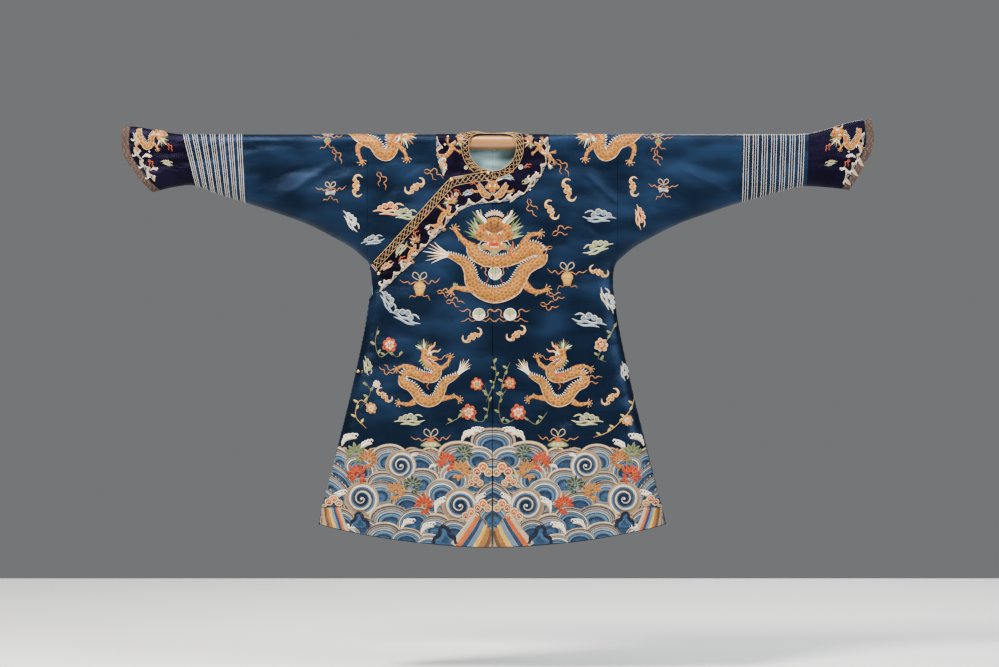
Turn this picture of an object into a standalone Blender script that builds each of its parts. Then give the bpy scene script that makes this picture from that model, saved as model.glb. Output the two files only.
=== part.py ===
# A Chinese dragon robe, hung flat on a round rod that runs through both sleeves.
# Metres, +Z up, the robe's front towards -Y. The origin is on the rod's axis at the middle of the neck.
# "Left" and "right" are the wearer's: the left half is at +X, and the right half, which the front
# overlap covers, is at -X.

import math

import bmesh
import bpy
import numpy as np

# Sizes that drive the rest
ROD_RADIUS = 0.020
ROD_LENGTH = 1.720
SEAM_GAP = 0.0003
CLOTH = 0.0020
FACING = 0.0010
TRIM = 0.0008
OVERLAP_GAP = 0.0020
LINING = 0.0008
SLEEVE_SEAM_X = 0.352
HEM_DROP_CENTRE = 1.141
HEM_RISE_AT_SIDE = 0.065
NECK_RADIUS = 0.067
NECK_CENTRE_V = 0.047
NECK_BACK_V = 0.0055
TRIM_WIDTH = 0.021
FACING_RADIUS = 0.160
FACING_BACK_V = -0.092
VENT_TOP_DROP = 0.800
VENT_HALF_GAP = 0.0022
FLAP_HEM_DROP = 1.060
FLAP_EDGE_X = 0.030
HEM_HALF_DEPTH = 0.036
EDGE_ROUND = 0.050
CUFF_HALF_DEPTH = 0.012
CUFF_BAND_WIDTH = 0.022
SLEEVE_GAP = 0.0005
CUFF_GAP = 0.0008
FLAP_DEPTH = 0.0050
FLAP_SIDE_ROOM = 0.0060
RIGHT_YOKE_LIFT = 0.0004

# Quarter turn over the rod in this many flat strips, which clear the rod by the seam gap
ARC_STEPS = 4
INNER_RADIUS = (ROD_RADIUS + SEAM_GAP) / math.cos(math.pi / (4 * ARC_STEPS))
ARC = INNER_RADIUS * math.pi / 2

# Underarm edge of the sleeve: (out from the centre, drop below the rod's axis)
UNDERARM = [
    (0.352, 0.334),
    (0.395, 0.297),
    (0.437, 0.272),
    (0.522, 0.229),
    (0.606, 0.198),
    (0.690, 0.170),
]
# Side seam of the body: (drop, half width)
SIDE_SEAM = [
    (0.365, 0.341),
    (0.467, 0.348),
    (0.670, 0.388),
    (0.873, 0.438),
    (1.100, 0.496),
]
SILHOUETTE = [(drop, x) for x, drop in reversed(UNDERARM)] + SIDE_SEAM

# How each sleeve ends. The bottom rows continue the underarm edge to the cuff's tip.
SLEEVE_ENDS = {
    1: {
        "band_top": 0.705,
        "band_bottom": 0.700,
        "cuff_top": 0.892,
        "cuff_bottom": 0.886,
        "end_top": 1.069,
        "end_bottom": 1.007,
        "end_bulge": 0.012,
        "rise": 0.043,
        "bottom": [(0.775, 0.147), (0.865, 0.123), (0.950, 0.125), (1.020, 0.134)],
    },
    -1: {
        "band_top": 0.703,
        "band_bottom": 0.694,
        "cuff_top": 0.876,
        "cuff_bottom": 0.838,
        "end_top": 1.043,
        "end_bottom": 0.959,
        "end_bulge": 0.010,
        "rise": 0.024,
        "bottom": [(0.775, 0.143), (0.845, 0.119), (0.900, 0.124), (0.965, 0.140)],
    },
}

# Large soft folds. Each is a ridge, or a trough where its height is negative, along one line.
# (half, face, from_x, from_drop, to_x, to_drop, half_width, height); face is 1 in front and -1 behind
FOLDS = [
    (1, 1, 0.205, 0.070, 0.345, 0.250, 0.034, 0.0055),
    (1, 1, 0.270, 0.040, 0.420, 0.215, 0.030, -0.0045),
    (1, 1, 0.390, 0.050, 0.600, 0.150, 0.030, 0.0050),
    (1, 1, 0.480, 0.030, 0.680, 0.105, 0.024, -0.0045),
    (1, 1, 0.230, 0.560, 0.270, 1.120, 0.055, 0.0080),
    (1, 1, 0.370, 0.700, 0.430, 1.080, 0.042, 0.0060),
    (1, 1, 0.120, 0.620, 0.140, 1.130, 0.050, -0.0060),
    (-1, 1, 0.230, 0.400, 0.090, 0.560, 0.045, 0.0060),
    (-1, 1, 0.300, 0.470, 0.170, 0.640, 0.040, -0.0050),
    (-1, 1, 0.370, 0.080, 0.520, 0.190, 0.032, 0.0050),
    (-1, 1, 0.470, 0.040, 0.640, 0.120, 0.026, -0.0045),
    (-1, 1, 0.280, 0.700, 0.340, 1.110, 0.050, 0.0075),
    (-1, 1, 0.150, 0.720, 0.170, 1.130, 0.050, -0.0060),
    (1, -1, 0.200, 0.080, 0.340, 0.260, 0.034, 0.0050),
    (1, -1, 0.400, 0.050, 0.600, 0.140, 0.030, 0.0045),
    (1, -1, 0.240, 0.520, 0.290, 1.120, 0.055, 0.0080),
    (1, -1, 0.110, 0.600, 0.120, 1.130, 0.050, -0.0055),
    (-1, -1, 0.210, 0.080, 0.350, 0.250, 0.034, 0.0050),
    (-1, -1, 0.410, 0.060, 0.610, 0.150, 0.030, 0.0045),
    (-1, -1, 0.300, 0.560, 0.350, 1.110, 0.052, 0.0080),
    (-1, -1, 0.150, 0.640, 0.160, 1.130, 0.050, -0.0055),
]

# The overlap's slanting edge and the lower edge of the facing on it, from the neck's middle to the side.
# (edge_x, edge_drop, low_x, low_drop, hem_share): a column of the overlap ends at hem_share of the hem
LAPEL = [
    (0.0000, 0.0810, 0.0000, 0.1730, 0.00),
    (0.0400, 0.0870, 0.0300, 0.1750, 0.10),
    (0.0850, 0.0945, 0.0620, 0.1810, 0.20),
    (0.1120, 0.0990, 0.0850, 0.1910, 0.28),
    (0.1230, 0.1060, 0.1000, 0.2010, 0.34),
    (0.1500, 0.1350, 0.1140, 0.2160, 0.42),
    (0.1900, 0.1795, 0.1400, 0.2490, 0.52),
    (0.2400, 0.2345, 0.1880, 0.2970, 0.64),
    (0.2900, 0.2895, 0.2380, 0.3450, 0.76),
    (0.3260, 0.3290, 0.2830, 0.3960, 0.87),
    (0.3370, 0.3420, 0.3200, 0.4280, 0.945),
    (0.3408, 0.3480, 0.3375, 0.4400, 0.985),
    (0.3412, 0.3520, 0.3440, 0.4440, 1.00),
]

COLUMNS = (0.0, 0.12, 0.24, 0.36, 0.48, 0.60, 0.72, 0.83, 0.91, 0.965, 0.99, 1.0)


def smooth_step(t):
    t = min(1.0, max(0.0, t))
    return t * t * (3 - 2 * t)


def read_table(rows, key):
    """The second column of rows at this key, on a smooth curve through them, straight past the ends."""
    slopes = [
        (b[1] - a[1]) / (b[0] - a[0]) for a, b in zip(rows, rows[1:])
    ]
    if key <= rows[0][0]:
        return rows[0][1] + slopes[0] * (key - rows[0][0])
    if key >= rows[-1][0]:
        return rows[-1][1] + slopes[-1] * (key - rows[-1][0])
    i = max(n for n in range(len(slopes)) if rows[n][0] <= key)
    width = rows[i + 1][0] - rows[i][0]
    t = (key - rows[i][0]) / width
    start = (slopes[max(i - 1, 0)] + slopes[i]) / 2 * width
    end = (slopes[i] + slopes[min(i + 1, len(slopes) - 1)]) / 2 * width
    return (
        (2 * t**3 - 3 * t**2 + 1) * rows[i][1]
        + (t**3 - 2 * t**2 + t) * start
        + (3 * t**2 - 2 * t**3) * rows[i + 1][1]
        + (t**3 - t**2) * end
    )


def bottom_drop(x, half):
    """How far below the rod's axis the sleeve's lower edge lies, this far out."""
    return read_table(UNDERARM + SLEEVE_ENDS[half]["bottom"], x)


def cuff_share(x, half):
    """0 where the rod fills the sleeve's top, rising to 1 at the cuff's end."""
    start = ROD_LENGTH / 2
    return smooth_step((x - start) / (SLEEVE_ENDS[half]["end_top"] - start))


def rise(x, half):
    return SLEEVE_ENDS[half]["rise"] * cuff_share(x, half)


def edge_line(half):
    """Points along the garment's underarm edge and side seam, from the cuff's tip to below the hem."""
    tip = SLEEVE_ENDS[half]["end_bottom"] + 0.08
    sleeve = [(x, bottom_drop(x, half)) for x in np.linspace(tip, SLEEVE_SEAM_X, 60)]
    seam = [(read_table(SILHOUETTE, drop), drop) for drop in np.linspace(0.334, 1.30, 60)]
    return np.array(sleeve + seam[1:])


EDGES = {half: edge_line(half) for half in (1, -1)}


def edge_distance(x, drop, half):
    """How far this place is from the garment's side or underarm edge."""
    start, end = EDGES[half][:-1], EDGES[half][1:]
    along = end - start
    offset = np.array((x, drop)) - start
    share = np.clip((offset * along).sum(axis=1) / (along**2).sum(axis=1), 0.0, 1.0)
    return float(np.sqrt(((offset - along * share[:, None]) ** 2).sum(axis=1).min()))


def fold_height(x, drop, half, face):
    total = 0.0
    for fold_half, fold_face, ax, ad, bx, bd, width, height in FOLDS:
        if (fold_half, fold_face) != (half, face):
            continue
        length = math.hypot(bx - ax, bd - ad)
        along = ((x - ax) * (bx - ax) + (drop - ad) * (bd - ad)) / length
        across = ((x - ax) * (bd - ad) - (drop - ad) * (bx - ax)) / length
        end_room = 0.45 * length
        ends = smooth_step((along + 0.03) / end_room) * smooth_step((length + 0.03 - along) / end_room)
        if ad > VENT_TOP_DROP * 0.6 and drop > ad:
            ends = smooth_step((along + 0.03) / end_room)
        total += height * ends * math.exp(-((across / width) ** 2))
    return total


def half_depth(x, drop, half, face):
    """How far the cloth's inner skin hangs in front of, or behind, the rod's axis."""
    share = smooth_step(drop / HEM_DROP_CENTRE)
    body = INNER_RADIUS + (HEM_HALF_DEPTH - INNER_RADIUS) * share
    flat = INNER_RADIUS + (CUFF_HALF_DEPTH - INNER_RADIUS) * cuff_share(x, half)
    depth = body + flat - INNER_RADIUS
    inside = min(1.0, edge_distance(x, drop, half) / EDGE_ROUND)
    closing = (1 - (1 - inside) ** 2) ** 0.62
    below_rod = smooth_step((drop - 0.01) / 0.05)
    return depth * closing + fold_height(x, drop, half, face) * below_rod * closing + SEAM_GAP / 2


def cloth_point(x, v, half):
    """A point of the cloth's inner skin. v is measured over the shoulder, from its top: front +, back -."""
    face = 1 if v >= 0 else -1
    run = abs(v)
    if run < ARC:
        angle = run / INNER_RADIUS
        flat = half_depth(x, 0.0, half, face)
        return (x * half, -face * flat * math.sin(angle), rise(x, half) + INNER_RADIUS * math.cos(angle))
    drop = run - ARC
    return (x * half, -face * half_depth(x, drop - rise(x, half), half, face), rise(x, half) - drop)


def minus(a, b):
    return tuple(p - q for p, q in zip(a, b))


def unit(a):
    size = math.sqrt(sum(p * p for p in a))
    return tuple(p / size for p in a)


def cross(a, b):
    return (a[1] * b[2] - a[2] * b[1], a[2] * b[0] - a[0] * b[2], a[0] * b[1] - a[1] * b[0])


def lifted(x, v, half, lift, v_limit=None):
    """The cloth's point at (x, v), moved out of its face by lift."""
    step = 0.0015
    low_v, high_v = v - step, v + step
    if v_limit is not None:
        low_v, high_v = max(low_v, -v_limit), min(high_v, v_limit)
    along_x = minus(cloth_point(x + step, v, half), cloth_point(max(x - step, 0.0), v, half))
    along_v = minus(cloth_point(x, high_v, half), cloth_point(x, low_v, half))
    normal = unit(cross(along_v, along_x))
    if half < 0:
        normal = tuple(-n for n in normal)
    point = cloth_point(x, v, half)
    return tuple(p + n * lift for p, n in zip(point, normal))


def material_of(name, colour, roughness, metallic=0.0):
    material = bpy.data.materials.get(name) or bpy.data.materials.new(name)
    material.use_nodes = True
    shader = material.node_tree.nodes["Principled BSDF"]
    shader.inputs["Base Color"].default_value = (*colour, 1.0)
    shader.inputs["Roughness"].default_value = roughness
    shader.inputs["Metallic"].default_value = metallic
    return material


def add_object(name, mesh_builder, material):
    if mesh_builder.calc_volume(signed=True) < 0:
        bmesh.ops.reverse_faces(mesh_builder, faces=mesh_builder.faces)
    mesh = bpy.data.meshes.new(name)
    mesh_builder.to_mesh(mesh)
    mesh_builder.free()
    mesh.materials.append(material)
    mesh.shade_smooth()
    mesh.set_sharp_from_angle(angle=math.radians(40))
    thing = bpy.data.objects.new(name, mesh)
    bpy.context.scene.collection.objects.link(thing)
    return thing


def add_wall(name, inner, outer, material, ring=False):
    """A closed wall between two grids of points. A ring's rows join end to end."""
    builder = bmesh.new()
    low, top = ([[builder.verts.new(p) for p in row] for row in grid] for grid in (inner, outer))
    rows, columns = len(inner), len(inner[0])
    last = rows - 1
    spans = [(c, (c + 1) % columns) for c in range(columns if ring else columns - 1)]
    for r in range(last):
        for c, d in spans:
            builder.faces.new((low[r][c], low[r][d], low[r + 1][d], low[r + 1][c]))
            builder.faces.new((top[r][c], top[r + 1][c], top[r + 1][d], top[r][d]))
    for c, d in spans:
        builder.faces.new((low[0][d], low[0][c], top[0][c], top[0][d]))
        builder.faces.new((low[last][c], low[last][d], top[last][d], top[last][c]))
    if not ring:
        for r in range(last):
            builder.faces.new((low[r][0], low[r + 1][0], top[r + 1][0], top[r][0]))
            builder.faces.new((low[r + 1][-1], low[r][-1], top[r][-1], top[r + 1][-1]))
    return add_object(name, builder, material)


def add_layer(name, places, half, low_lift, thickness, material):
    """A wall over a grid of (x, v, extra lift) places on one half of the cloth."""
    inner = [[lifted(x, v, half, low_lift + more) for x, v, more in row] for row in places]
    outer = [[lifted(x, v, half, low_lift + more + thickness) for x, v, more in row] for row in places]
    return add_wall(name, inner, outer, material)


# Rows over the shoulder. Every layer there uses the same ones, so their facets lie parallel.
ARC_ROWS = [ARC * n / ARC_STEPS for n in range(-ARC_STEPS, ARC_STEPS + 1)]


def collar_x(radius, back_v, v):
    """Half the width of the collar's line, round in front and flat behind, where the cloth is unrolled."""
    if v >= NECK_CENTRE_V:
        return math.sqrt(max(0.0, radius**2 - (v - NECK_CENTRE_V) ** 2))
    share = min(0.975, (NECK_CENTRE_V - v) / (NECK_CENTRE_V - back_v))
    return radius * (1 - share**3) ** (1 / 3)


def neck_x(v):
    return collar_x(NECK_RADIUS, NECK_BACK_V, v) if v > NECK_BACK_V + 1e-6 else 0.0


def front_rows(radius, angles):
    return [NECK_CENTRE_V + radius * math.sin(math.radians(a)) for a in angles]


def clean_rows(rows, least):
    """Sorted rows, with those dropped that lie closer than least to the one before."""
    kept = []
    for v in sorted(rows):
        if not kept or v - kept[-1] >= least:
            kept.append(v)
    return kept


def vent_edge(drop):
    open_share = smooth_step((drop - VENT_TOP_DROP) / (HEM_DROP_CENTRE - VENT_TOP_DROP))
    return SEAM_GAP / 2 + VENT_HALF_GAP * open_share


def side_edge(drop):
    if drop <= SILHOUETTE[len(UNDERARM) - 1][0]:
        return SLEEVE_SEAM_X - SEAM_GAP / 2
    return read_table(SILHOUETTE, drop)


def hem_drop(share):
    return HEM_DROP_CENTRE - HEM_RISE_AT_SIDE * share**1.8


def body_rows():
    """v of each row of a half of the body between the back and front of the yoke."""
    back = [NECK_BACK_V, NECK_BACK_V + 0.0008, 0.0122]
    front = front_rows(NECK_RADIUS, (0, 20, 42, 62, 78, 90))
    return clean_rows(ARC_ROWS + back + front + [-0.060, FACING_BACK_V, 0.160, 0.208], 0.0007)


def beside_lapel(x, drop):
    """How far below the overlap's slanting edge this place is, straight down."""
    line = [(row[0], row[1]) for row in LAPEL]
    return drop - read_table(line, min(x, LAPEL[-1][0]))


def half_grid(front_hem, front_edge):
    """Places (x, v, extra lift) of one half: back hem, over the shoulder, front hem."""
    middle = body_rows()
    skirt = [n / 19 for n in range(1, 20)]
    grid = []
    for t in reversed(skirt):
        grid.append([("back", t, share) for share in COLUMNS])
    grid += [[("middle", v, share) for share in COLUMNS] for v in middle]
    for t in skirt:
        grid.append([("front", t, share) for share in COLUMNS])
    places = []
    for row in grid:
        line = []
        for zone, value, share in row:
            if zone == "middle":
                v = value
            else:
                start, sign = (middle[-1], 1) if zone == "front" else (middle[0], -1)
                end = ARC + (front_hem(share) if zone == "front" else hem_drop(share))
                v = sign * (abs(start) + (end - abs(start)) * value)
            drop = max(0.0, abs(v) - ARC)
            near = neck_x(v)
            if v > 0:
                near = max(near, front_edge(drop))
            else:
                near = max(near, vent_edge(drop))
            x = near + (side_edge(drop) - near) * share
            line.append((x, v, 0.0))
        places.append(line)
    return places


def overlap_lift(x):
    """How far the overlap stands off the flap under it, less near the centre seam, where it is sewn."""
    return (CLOTH + OVERLAP_GAP) * smooth_step(x / 0.045)


def flap_sink(x, v):
    """The flap lies this much further in than the shared form, under the overlap."""
    if v < ARC:
        return 0.0
    near_seam = (CLOTH + OVERLAP_GAP) * (1 - smooth_step(x / 0.045)) * smooth_step((v - ARC) / 0.03)
    return -near_seam - FLAP_DEPTH * smooth_step(beside_lapel(x, v - ARC) / 0.10)


def flap_edge(drop):
    below_neck = smooth_step((drop + ARC - NECK_CENTRE_V - NECK_RADIUS + 0.01) / 0.05)
    return 0.004 + (FLAP_EDGE_X - 0.004) * below_neck


def build_left_half(material):
    grid = half_grid(hem_drop, vent_edge)
    return add_layer("left_half", grid, 1, 0.0, CLOTH, material)


def build_right_half(material):
    def flap_hem(share):
        return FLAP_HEM_DROP - 0.02 * share

    inner, outer = [], []
    for row in half_grid(flap_hem, flap_edge):
        skins = [], []
        for x, v, _ in row:
            covered = smooth_step((beside_lapel(x, v - ARC) + 0.03) / 0.05) if v > ARC else 0.0
            room = FLAP_SIDE_ROOM * covered * smooth_step((x - 0.1) / 0.18)
            for skin, lift in zip(skins, (0.0, CLOTH)):
                point = lifted(x, v, -1, lift + flap_sink(x, v) * smooth_step(edge_distance(x, v - ARC, -1) / 0.03))
                skin.append((point[0] + room, point[1], point[2]))
        inner.append(skins[0])
        outer.append(skins[1])
    return add_wall("right_half", inner, outer, material)


def lapel_rows(shares):
    """Places across the lapel, a row for each share from its edge (0) to the facing's lower edge (1)."""
    rows = []
    for share in shares:
        rows.append(
            [
                (ex + (lx - ex) * share, ARC + ed + (ld - ed) * share, 0.0)
                for ex, ed, lx, ld, _ in LAPEL
            ]
        )
    return rows


def overlap_grid():
    places = lapel_rows((0.0, 0.25, 0.62, 1.0))
    for n in range(1, 17):
        t = n / 16
        row = []
        for _, _, low_x, low_drop, hem_share in LAPEL:
            drop = low_drop + (hem_drop(hem_share) - low_drop) * t
            start_share = low_x / read_table(SILHOUETTE, max(low_drop, 0.365))
            share = start_share + (hem_share - start_share) * t
            x = share * read_table(SILHOUETTE, max(drop, 0.365))
            row.append((x, ARC + drop, 0.0))
        places.append(row)
    return [
        [(max(x, vent_edge(v - ARC)), v, overlap_lift(x)) for x, v, _ in row] for row in places
    ]


def build_front_overlap(material):
    return add_layer("front_overlap", overlap_grid(), -1, 0.0, CLOTH, material)


def yoke_rows(radius, back_v):
    """The body's own rows as far as they go, and those where the outer line ends."""
    last = NECK_CENTRE_V + radius
    ends = [v for v in front_rows(radius, (48, 66, 80, 90)) if v > ARC]
    shared = [v for v in body_rows() if back_v + 1e-6 < v < last - 1e-6]
    kept = [v for v in ends if min(abs(v - other) for other in shared) > 0.004]
    return sorted([back_v] + shared + kept)


def lapel_edge_x(drop):
    """Where the overlap's edge crosses this drop, measured out from the centre."""
    if drop <= LAPEL[0][1]:
        return 0.0
    return read_table([(row[1], row[0]) for row in LAPEL[:9]], drop)


def yoke_grid(radius, back_v, half):
    """Places of the ring between the neck hole and the outer line, on one half."""
    places = []
    for v in yoke_rows(radius, back_v):
        far = collar_x(radius, back_v, v)
        near = max(neck_x(v), SEAM_GAP / 2)
        if half < 0 and v > ARC:
            edge = lapel_edge_x(v - ARC)
            near = max(near, edge + 0.002 if edge > 0 else 0.004)
            if far < near + 0.004:
                break
        far = max(far, near + 0.004)
        line = []
        for n in range(4):
            x = near + (far - near) * n / 3
            lift = flap_sink(x, v) + RIGHT_YOKE_LIFT * smooth_step((v - 0.02) / 0.05) if half < 0 else 0.0
            line.append((x, v, lift))
        places.append(line)
    return places


def clear_of_seam(rows):
    """The rows of the lapel, ending just short of the side seam."""
    return [row[:-2] + [(row[-2][0] - 0.004, row[-2][1], row[-2][2])] for row in rows]


def build_facings(material):
    on_cloth = CLOTH + SEAM_GAP
    for name, half in (("collar_facing_left", 1), ("collar_facing_right", -1)):
        add_layer(name, yoke_grid(FACING_RADIUS, FACING_BACK_V, half), half, on_cloth, FACING, material)
    add_layer("collar_facing_lapel", clear_of_seam(overlap_grid()[:4]), -1, on_cloth, FACING, material)


def build_trims(material):
    on_facing = CLOTH + FACING + 2 * SEAM_GAP
    for name, half in (("collar_trim_left", 1), ("collar_trim_right", -1)):
        grid = yoke_grid(NECK_RADIUS + TRIM_WIDTH, -ARC / 2, half)
        add_layer(name, grid, half, on_facing, TRIM, material)
    add_layer("collar_trim_lapel", clear_of_seam(overlap_grid()[:2]), -1, on_facing, TRIM, material)


def build_lining(material):
    """The pale lining of the back, which shows through the neck. It stays clear of the side seams."""
    grid = []
    for row in half_grid(hem_drop, vent_edge):
        v = row[0][1]
        if v < -ARC - 0.010:
            grid.append(row[:-4])
    for name, half in (("lining_back_left", 1), ("lining_back_right", -1)):
        add_layer(name, grid, half, -SEAM_GAP - LINING, LINING, material)


def ring_places(half, top_x, bottom_x, bulge=0.0, power=1.0):
    """One ring of a sleeve as (x, v, v at the underarm seam), from there over the top and back."""
    places = []
    below = [(n / 7) for n in range(1, 8)]
    levels = [("drop", -t) for t in reversed(below)] + [("arc", v) for v in ARC_ROWS]
    levels += [("drop", t) for t in below[:-1]]
    for zone, value in levels:
        guess = bottom_drop(top_x, half) + rise(top_x, half)
        run = abs(value) if zone == "arc" else ARC + guess * abs(value)
        share = run / (ARC + guess)
        x = top_x + (bottom_x - top_x) * share**power + bulge * math.sin(math.pi * min(1.0, share * 1.3)) ** 2
        seam_v = ARC + bottom_drop(x, half) + rise(x, half)
        if zone == "arc":
            v = value
        else:
            v = math.copysign(ARC + (seam_v - ARC) * abs(value), value)
        places.append((x, v, seam_v))
    return places


def add_tube(name, half, rings, material, low_lift=0.0, thickness=CLOTH):
    """A sleeve piece through rings of places."""
    def skin(lift):
        grid = []
        for ring in rings:
            line = []
            for x, v, seam_v in ring:
                point = lifted(x, v, half, lift, seam_v)
                if abs(v) >= seam_v - 1e-9:
                    seam = cloth_point(x, seam_v, half)
                    point = (seam[0], 0.0, seam[2] - lift)
                line.append(point)
            grid.append(line)
        return grid

    return add_wall(name, skin(low_lift), skin(low_lift + thickness), material, ring=True)


def between(first, last, count):
    return [first + (last - first) * n / (count - 1) for n in range(count)]


def build_sleeves(materials):
    names = {1: "left", -1: "right"}
    for half, side in names.items():
        end = SLEEVE_ENDS[half]
        gap = SEAM_GAP / 2
        upper = [
            ring_places(half, top, bottom)
            for top, bottom in zip(
                between(SLEEVE_SEAM_X + SLEEVE_GAP, end["band_top"] - gap, 10),
                between(SLEEVE_SEAM_X + SLEEVE_GAP, end["band_bottom"] - gap, 10),
            )
        ]
        add_tube(f"sleeve_{side}", half, upper, materials["silk"])
        band = [
            ring_places(half, top, bottom)
            for top, bottom in zip(
                between(end["band_top"] + gap, end["cuff_top"] - gap, 5),
                between(end["band_bottom"] + gap, end["cuff_bottom"] - gap, 5),
            )
        ]
        add_tube(f"sleeve_band_{side}", half, band, materials["band"])
        edge_top = end["end_top"] - CUFF_BAND_WIDTH
        edge_bottom = end["end_bottom"] - CUFF_BAND_WIDTH
        cuff = [
            ring_places(half, top, bottom, end["end_bulge"] * share, 1 + 1.2 * share)
            for top, bottom, share in zip(
                between(end["cuff_top"] + gap, edge_top - gap, 6),
                between(end["cuff_bottom"] + gap, edge_bottom - gap, 6),
                between(0.0, 1.0, 6),
            )
        ]
        add_tube(f"cuff_{side}", half, cuff, materials["navy"])
        edge = [
            ring_places(half, top, bottom, end["end_bulge"], 2.2)
            for top, bottom in zip(
                between(edge_top + CUFF_GAP, end["end_top"], 3),
                between(edge_bottom + CUFF_GAP, end["end_bottom"], 3),
            )
        ]
        add_tube(f"cuff_edge_{side}", half, edge, materials["brocade"])


def build_rod(material):
    builder = bmesh.new()
    bmesh.ops.create_cone(
        builder,
        cap_ends=True,
        segments=32,
        radius1=ROD_RADIUS,
        radius2=ROD_RADIUS,
        depth=ROD_LENGTH,
    )
    rod = add_object("rod", builder, material)
    rod.rotation_euler = (0.0, math.pi / 2, 0.0)
    return rod


# Knot buttons on the right half: (name, x, drop, lift of what they sit on, radius)
BUTTONS = [
    ("button_neck", 0.012, 0.0880, CLOTH + FACING + TRIM + 3 * SEAM_GAP, 0.0050),
    ("button_collar", 0.116, 0.1060, CLOTH + FACING + TRIM + 3 * SEAM_GAP, 0.0055),
    ("button_underarm", 0.316, 0.3700, CLOTH + FACING - 0.0004, 0.0050),
    ("button_side", 0.372, 0.6470, CLOTH - 0.0008, 0.0045),
]
# Cloth loops that hold them: (name, from_x, from_drop, to_x, to_drop), each ending short of its button
LOOPS = [
    ("loop_collar", 0.1060, 0.1025, 0.0820, 0.0985),
    ("loop_underarm", 0.3225, 0.3610, 0.3340, 0.3440),
    ("loop_side", 0.3660, 0.6470, 0.3400, 0.6450),
]
LOOP_HALF_WIDTH = 0.0028
LOOP_THICKNESS = 0.0016


def build_buttons(material):
    for name, x, drop, base, radius in BUTTONS:
        builder = bmesh.new()
        bmesh.ops.create_uvsphere(builder, u_segments=12, v_segments=8, radius=radius)
        button = add_object(name, builder, material)
        button.location = lifted(x, ARC + drop, -1, base + overlap_lift(x) + radius + SEAM_GAP)


def build_loops(material):
    bases = {"loop_collar": CLOTH + FACING + TRIM + 3 * SEAM_GAP, "loop_underarm": CLOTH + FACING + TRIM + 3 * SEAM_GAP}
    for name, ax, ad, bx, bd in LOOPS:
        base = bases.get(name, CLOTH + SEAM_GAP) + 0.0003
        length = math.hypot(bx - ax, bd - ad)
        side_x, side_drop = (bd - ad) / length, -(bx - ax) / length
        grid = []
        for t, width in ((0.0, 0.45), (0.12, 0.85), (0.3, 1.0), (0.55, 1.0), (0.8, 1.0), (0.94, 0.85), (1.0, 0.5)):
            row = []
            for across in (-1, 0, 1):
                x = ax + (bx - ax) * t + side_x * across * width * LOOP_HALF_WIDTH
                drop = ad + (bd - ad) * t + side_drop * across * width * LOOP_HALF_WIDTH
                row.append((x, ARC + drop, overlap_lift(x)))
            grid.append(row)
        add_layer(name, grid, -1, base, LOOP_THICKNESS, material)


def main():
    for thing in list(bpy.data.objects):
        bpy.data.objects.remove(thing)
    silk = material_of("blue_silk", (0.020, 0.045, 0.110), 0.45)
    band = material_of("striped_band", (0.070, 0.130, 0.230), 0.50)
    navy = material_of("navy_satin", (0.018, 0.016, 0.050), 0.45)
    gold = material_of("gold_fret_braid", (0.520, 0.360, 0.150), 0.45)
    brocade = material_of("brown_brocade", (0.220, 0.130, 0.090), 0.60)
    lining = material_of("pale_blue_lining", (0.380, 0.600, 0.680), 0.50)
    brass = material_of("gilt_button", (0.480, 0.300, 0.120), 0.35, 0.9)
    loop = material_of("loop_cord", (0.450, 0.300, 0.200), 0.60)
    copper = material_of("polished_rod", (0.700, 0.380, 0.200), 0.30)
    build_rod(copper)
    build_left_half(silk)
    build_right_half(silk)
    build_front_overlap(silk)
    build_facings(navy)
    build_trims(gold)
    build_lining(lining)
    build_sleeves({"silk": silk, "band": band, "navy": navy, "brocade": brocade})
    build_buttons(brass)
    build_loops(loop)


main()
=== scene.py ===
# %% [markdown]
# # A dragon robe hung on a rod
# The robe is cut from flat silk and hung with a rod through both sleeves, so almost every surface is
# one sheet of cloth that passes over the rod. Everything here is placed on that sheet: a point is
# named by how far it lies from the centre seam and how far down the cloth it lies, and one function
# turns that into a place in space. Cloth, facings, braid and needlework then all share the same folds.

# %% Frame
import math

import bpy
import numpy as np
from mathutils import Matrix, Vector


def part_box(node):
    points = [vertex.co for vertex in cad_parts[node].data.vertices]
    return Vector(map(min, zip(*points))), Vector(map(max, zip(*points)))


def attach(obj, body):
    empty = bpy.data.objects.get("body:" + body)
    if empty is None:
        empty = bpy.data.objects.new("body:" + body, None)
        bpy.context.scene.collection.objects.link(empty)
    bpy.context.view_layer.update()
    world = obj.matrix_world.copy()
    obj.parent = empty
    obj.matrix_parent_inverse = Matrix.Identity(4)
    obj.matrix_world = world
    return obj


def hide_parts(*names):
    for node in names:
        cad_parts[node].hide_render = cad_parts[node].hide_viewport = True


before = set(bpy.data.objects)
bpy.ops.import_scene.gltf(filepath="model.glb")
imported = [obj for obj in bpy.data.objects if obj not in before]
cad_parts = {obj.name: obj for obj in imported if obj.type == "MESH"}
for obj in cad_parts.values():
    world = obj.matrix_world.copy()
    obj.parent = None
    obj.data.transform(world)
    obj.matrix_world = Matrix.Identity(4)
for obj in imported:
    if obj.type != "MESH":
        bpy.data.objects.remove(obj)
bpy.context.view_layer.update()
rng = np.random.default_rng(7)
print("solids in the frame:", len(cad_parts))

# %% [markdown]
# ## The camera
# The robe is looked at square on with a long lens. The picture is 999 squares wide, and one square
# of the needlework chart, which the motifs below are drawn on, is one of them.

# %% Camera
SQUARE = 0.002823
CHART_X = 492.5
CHART_Y = 142.5
PICTURE = (999, 667)
CAMERA_DISTANCE = 9.0

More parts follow.
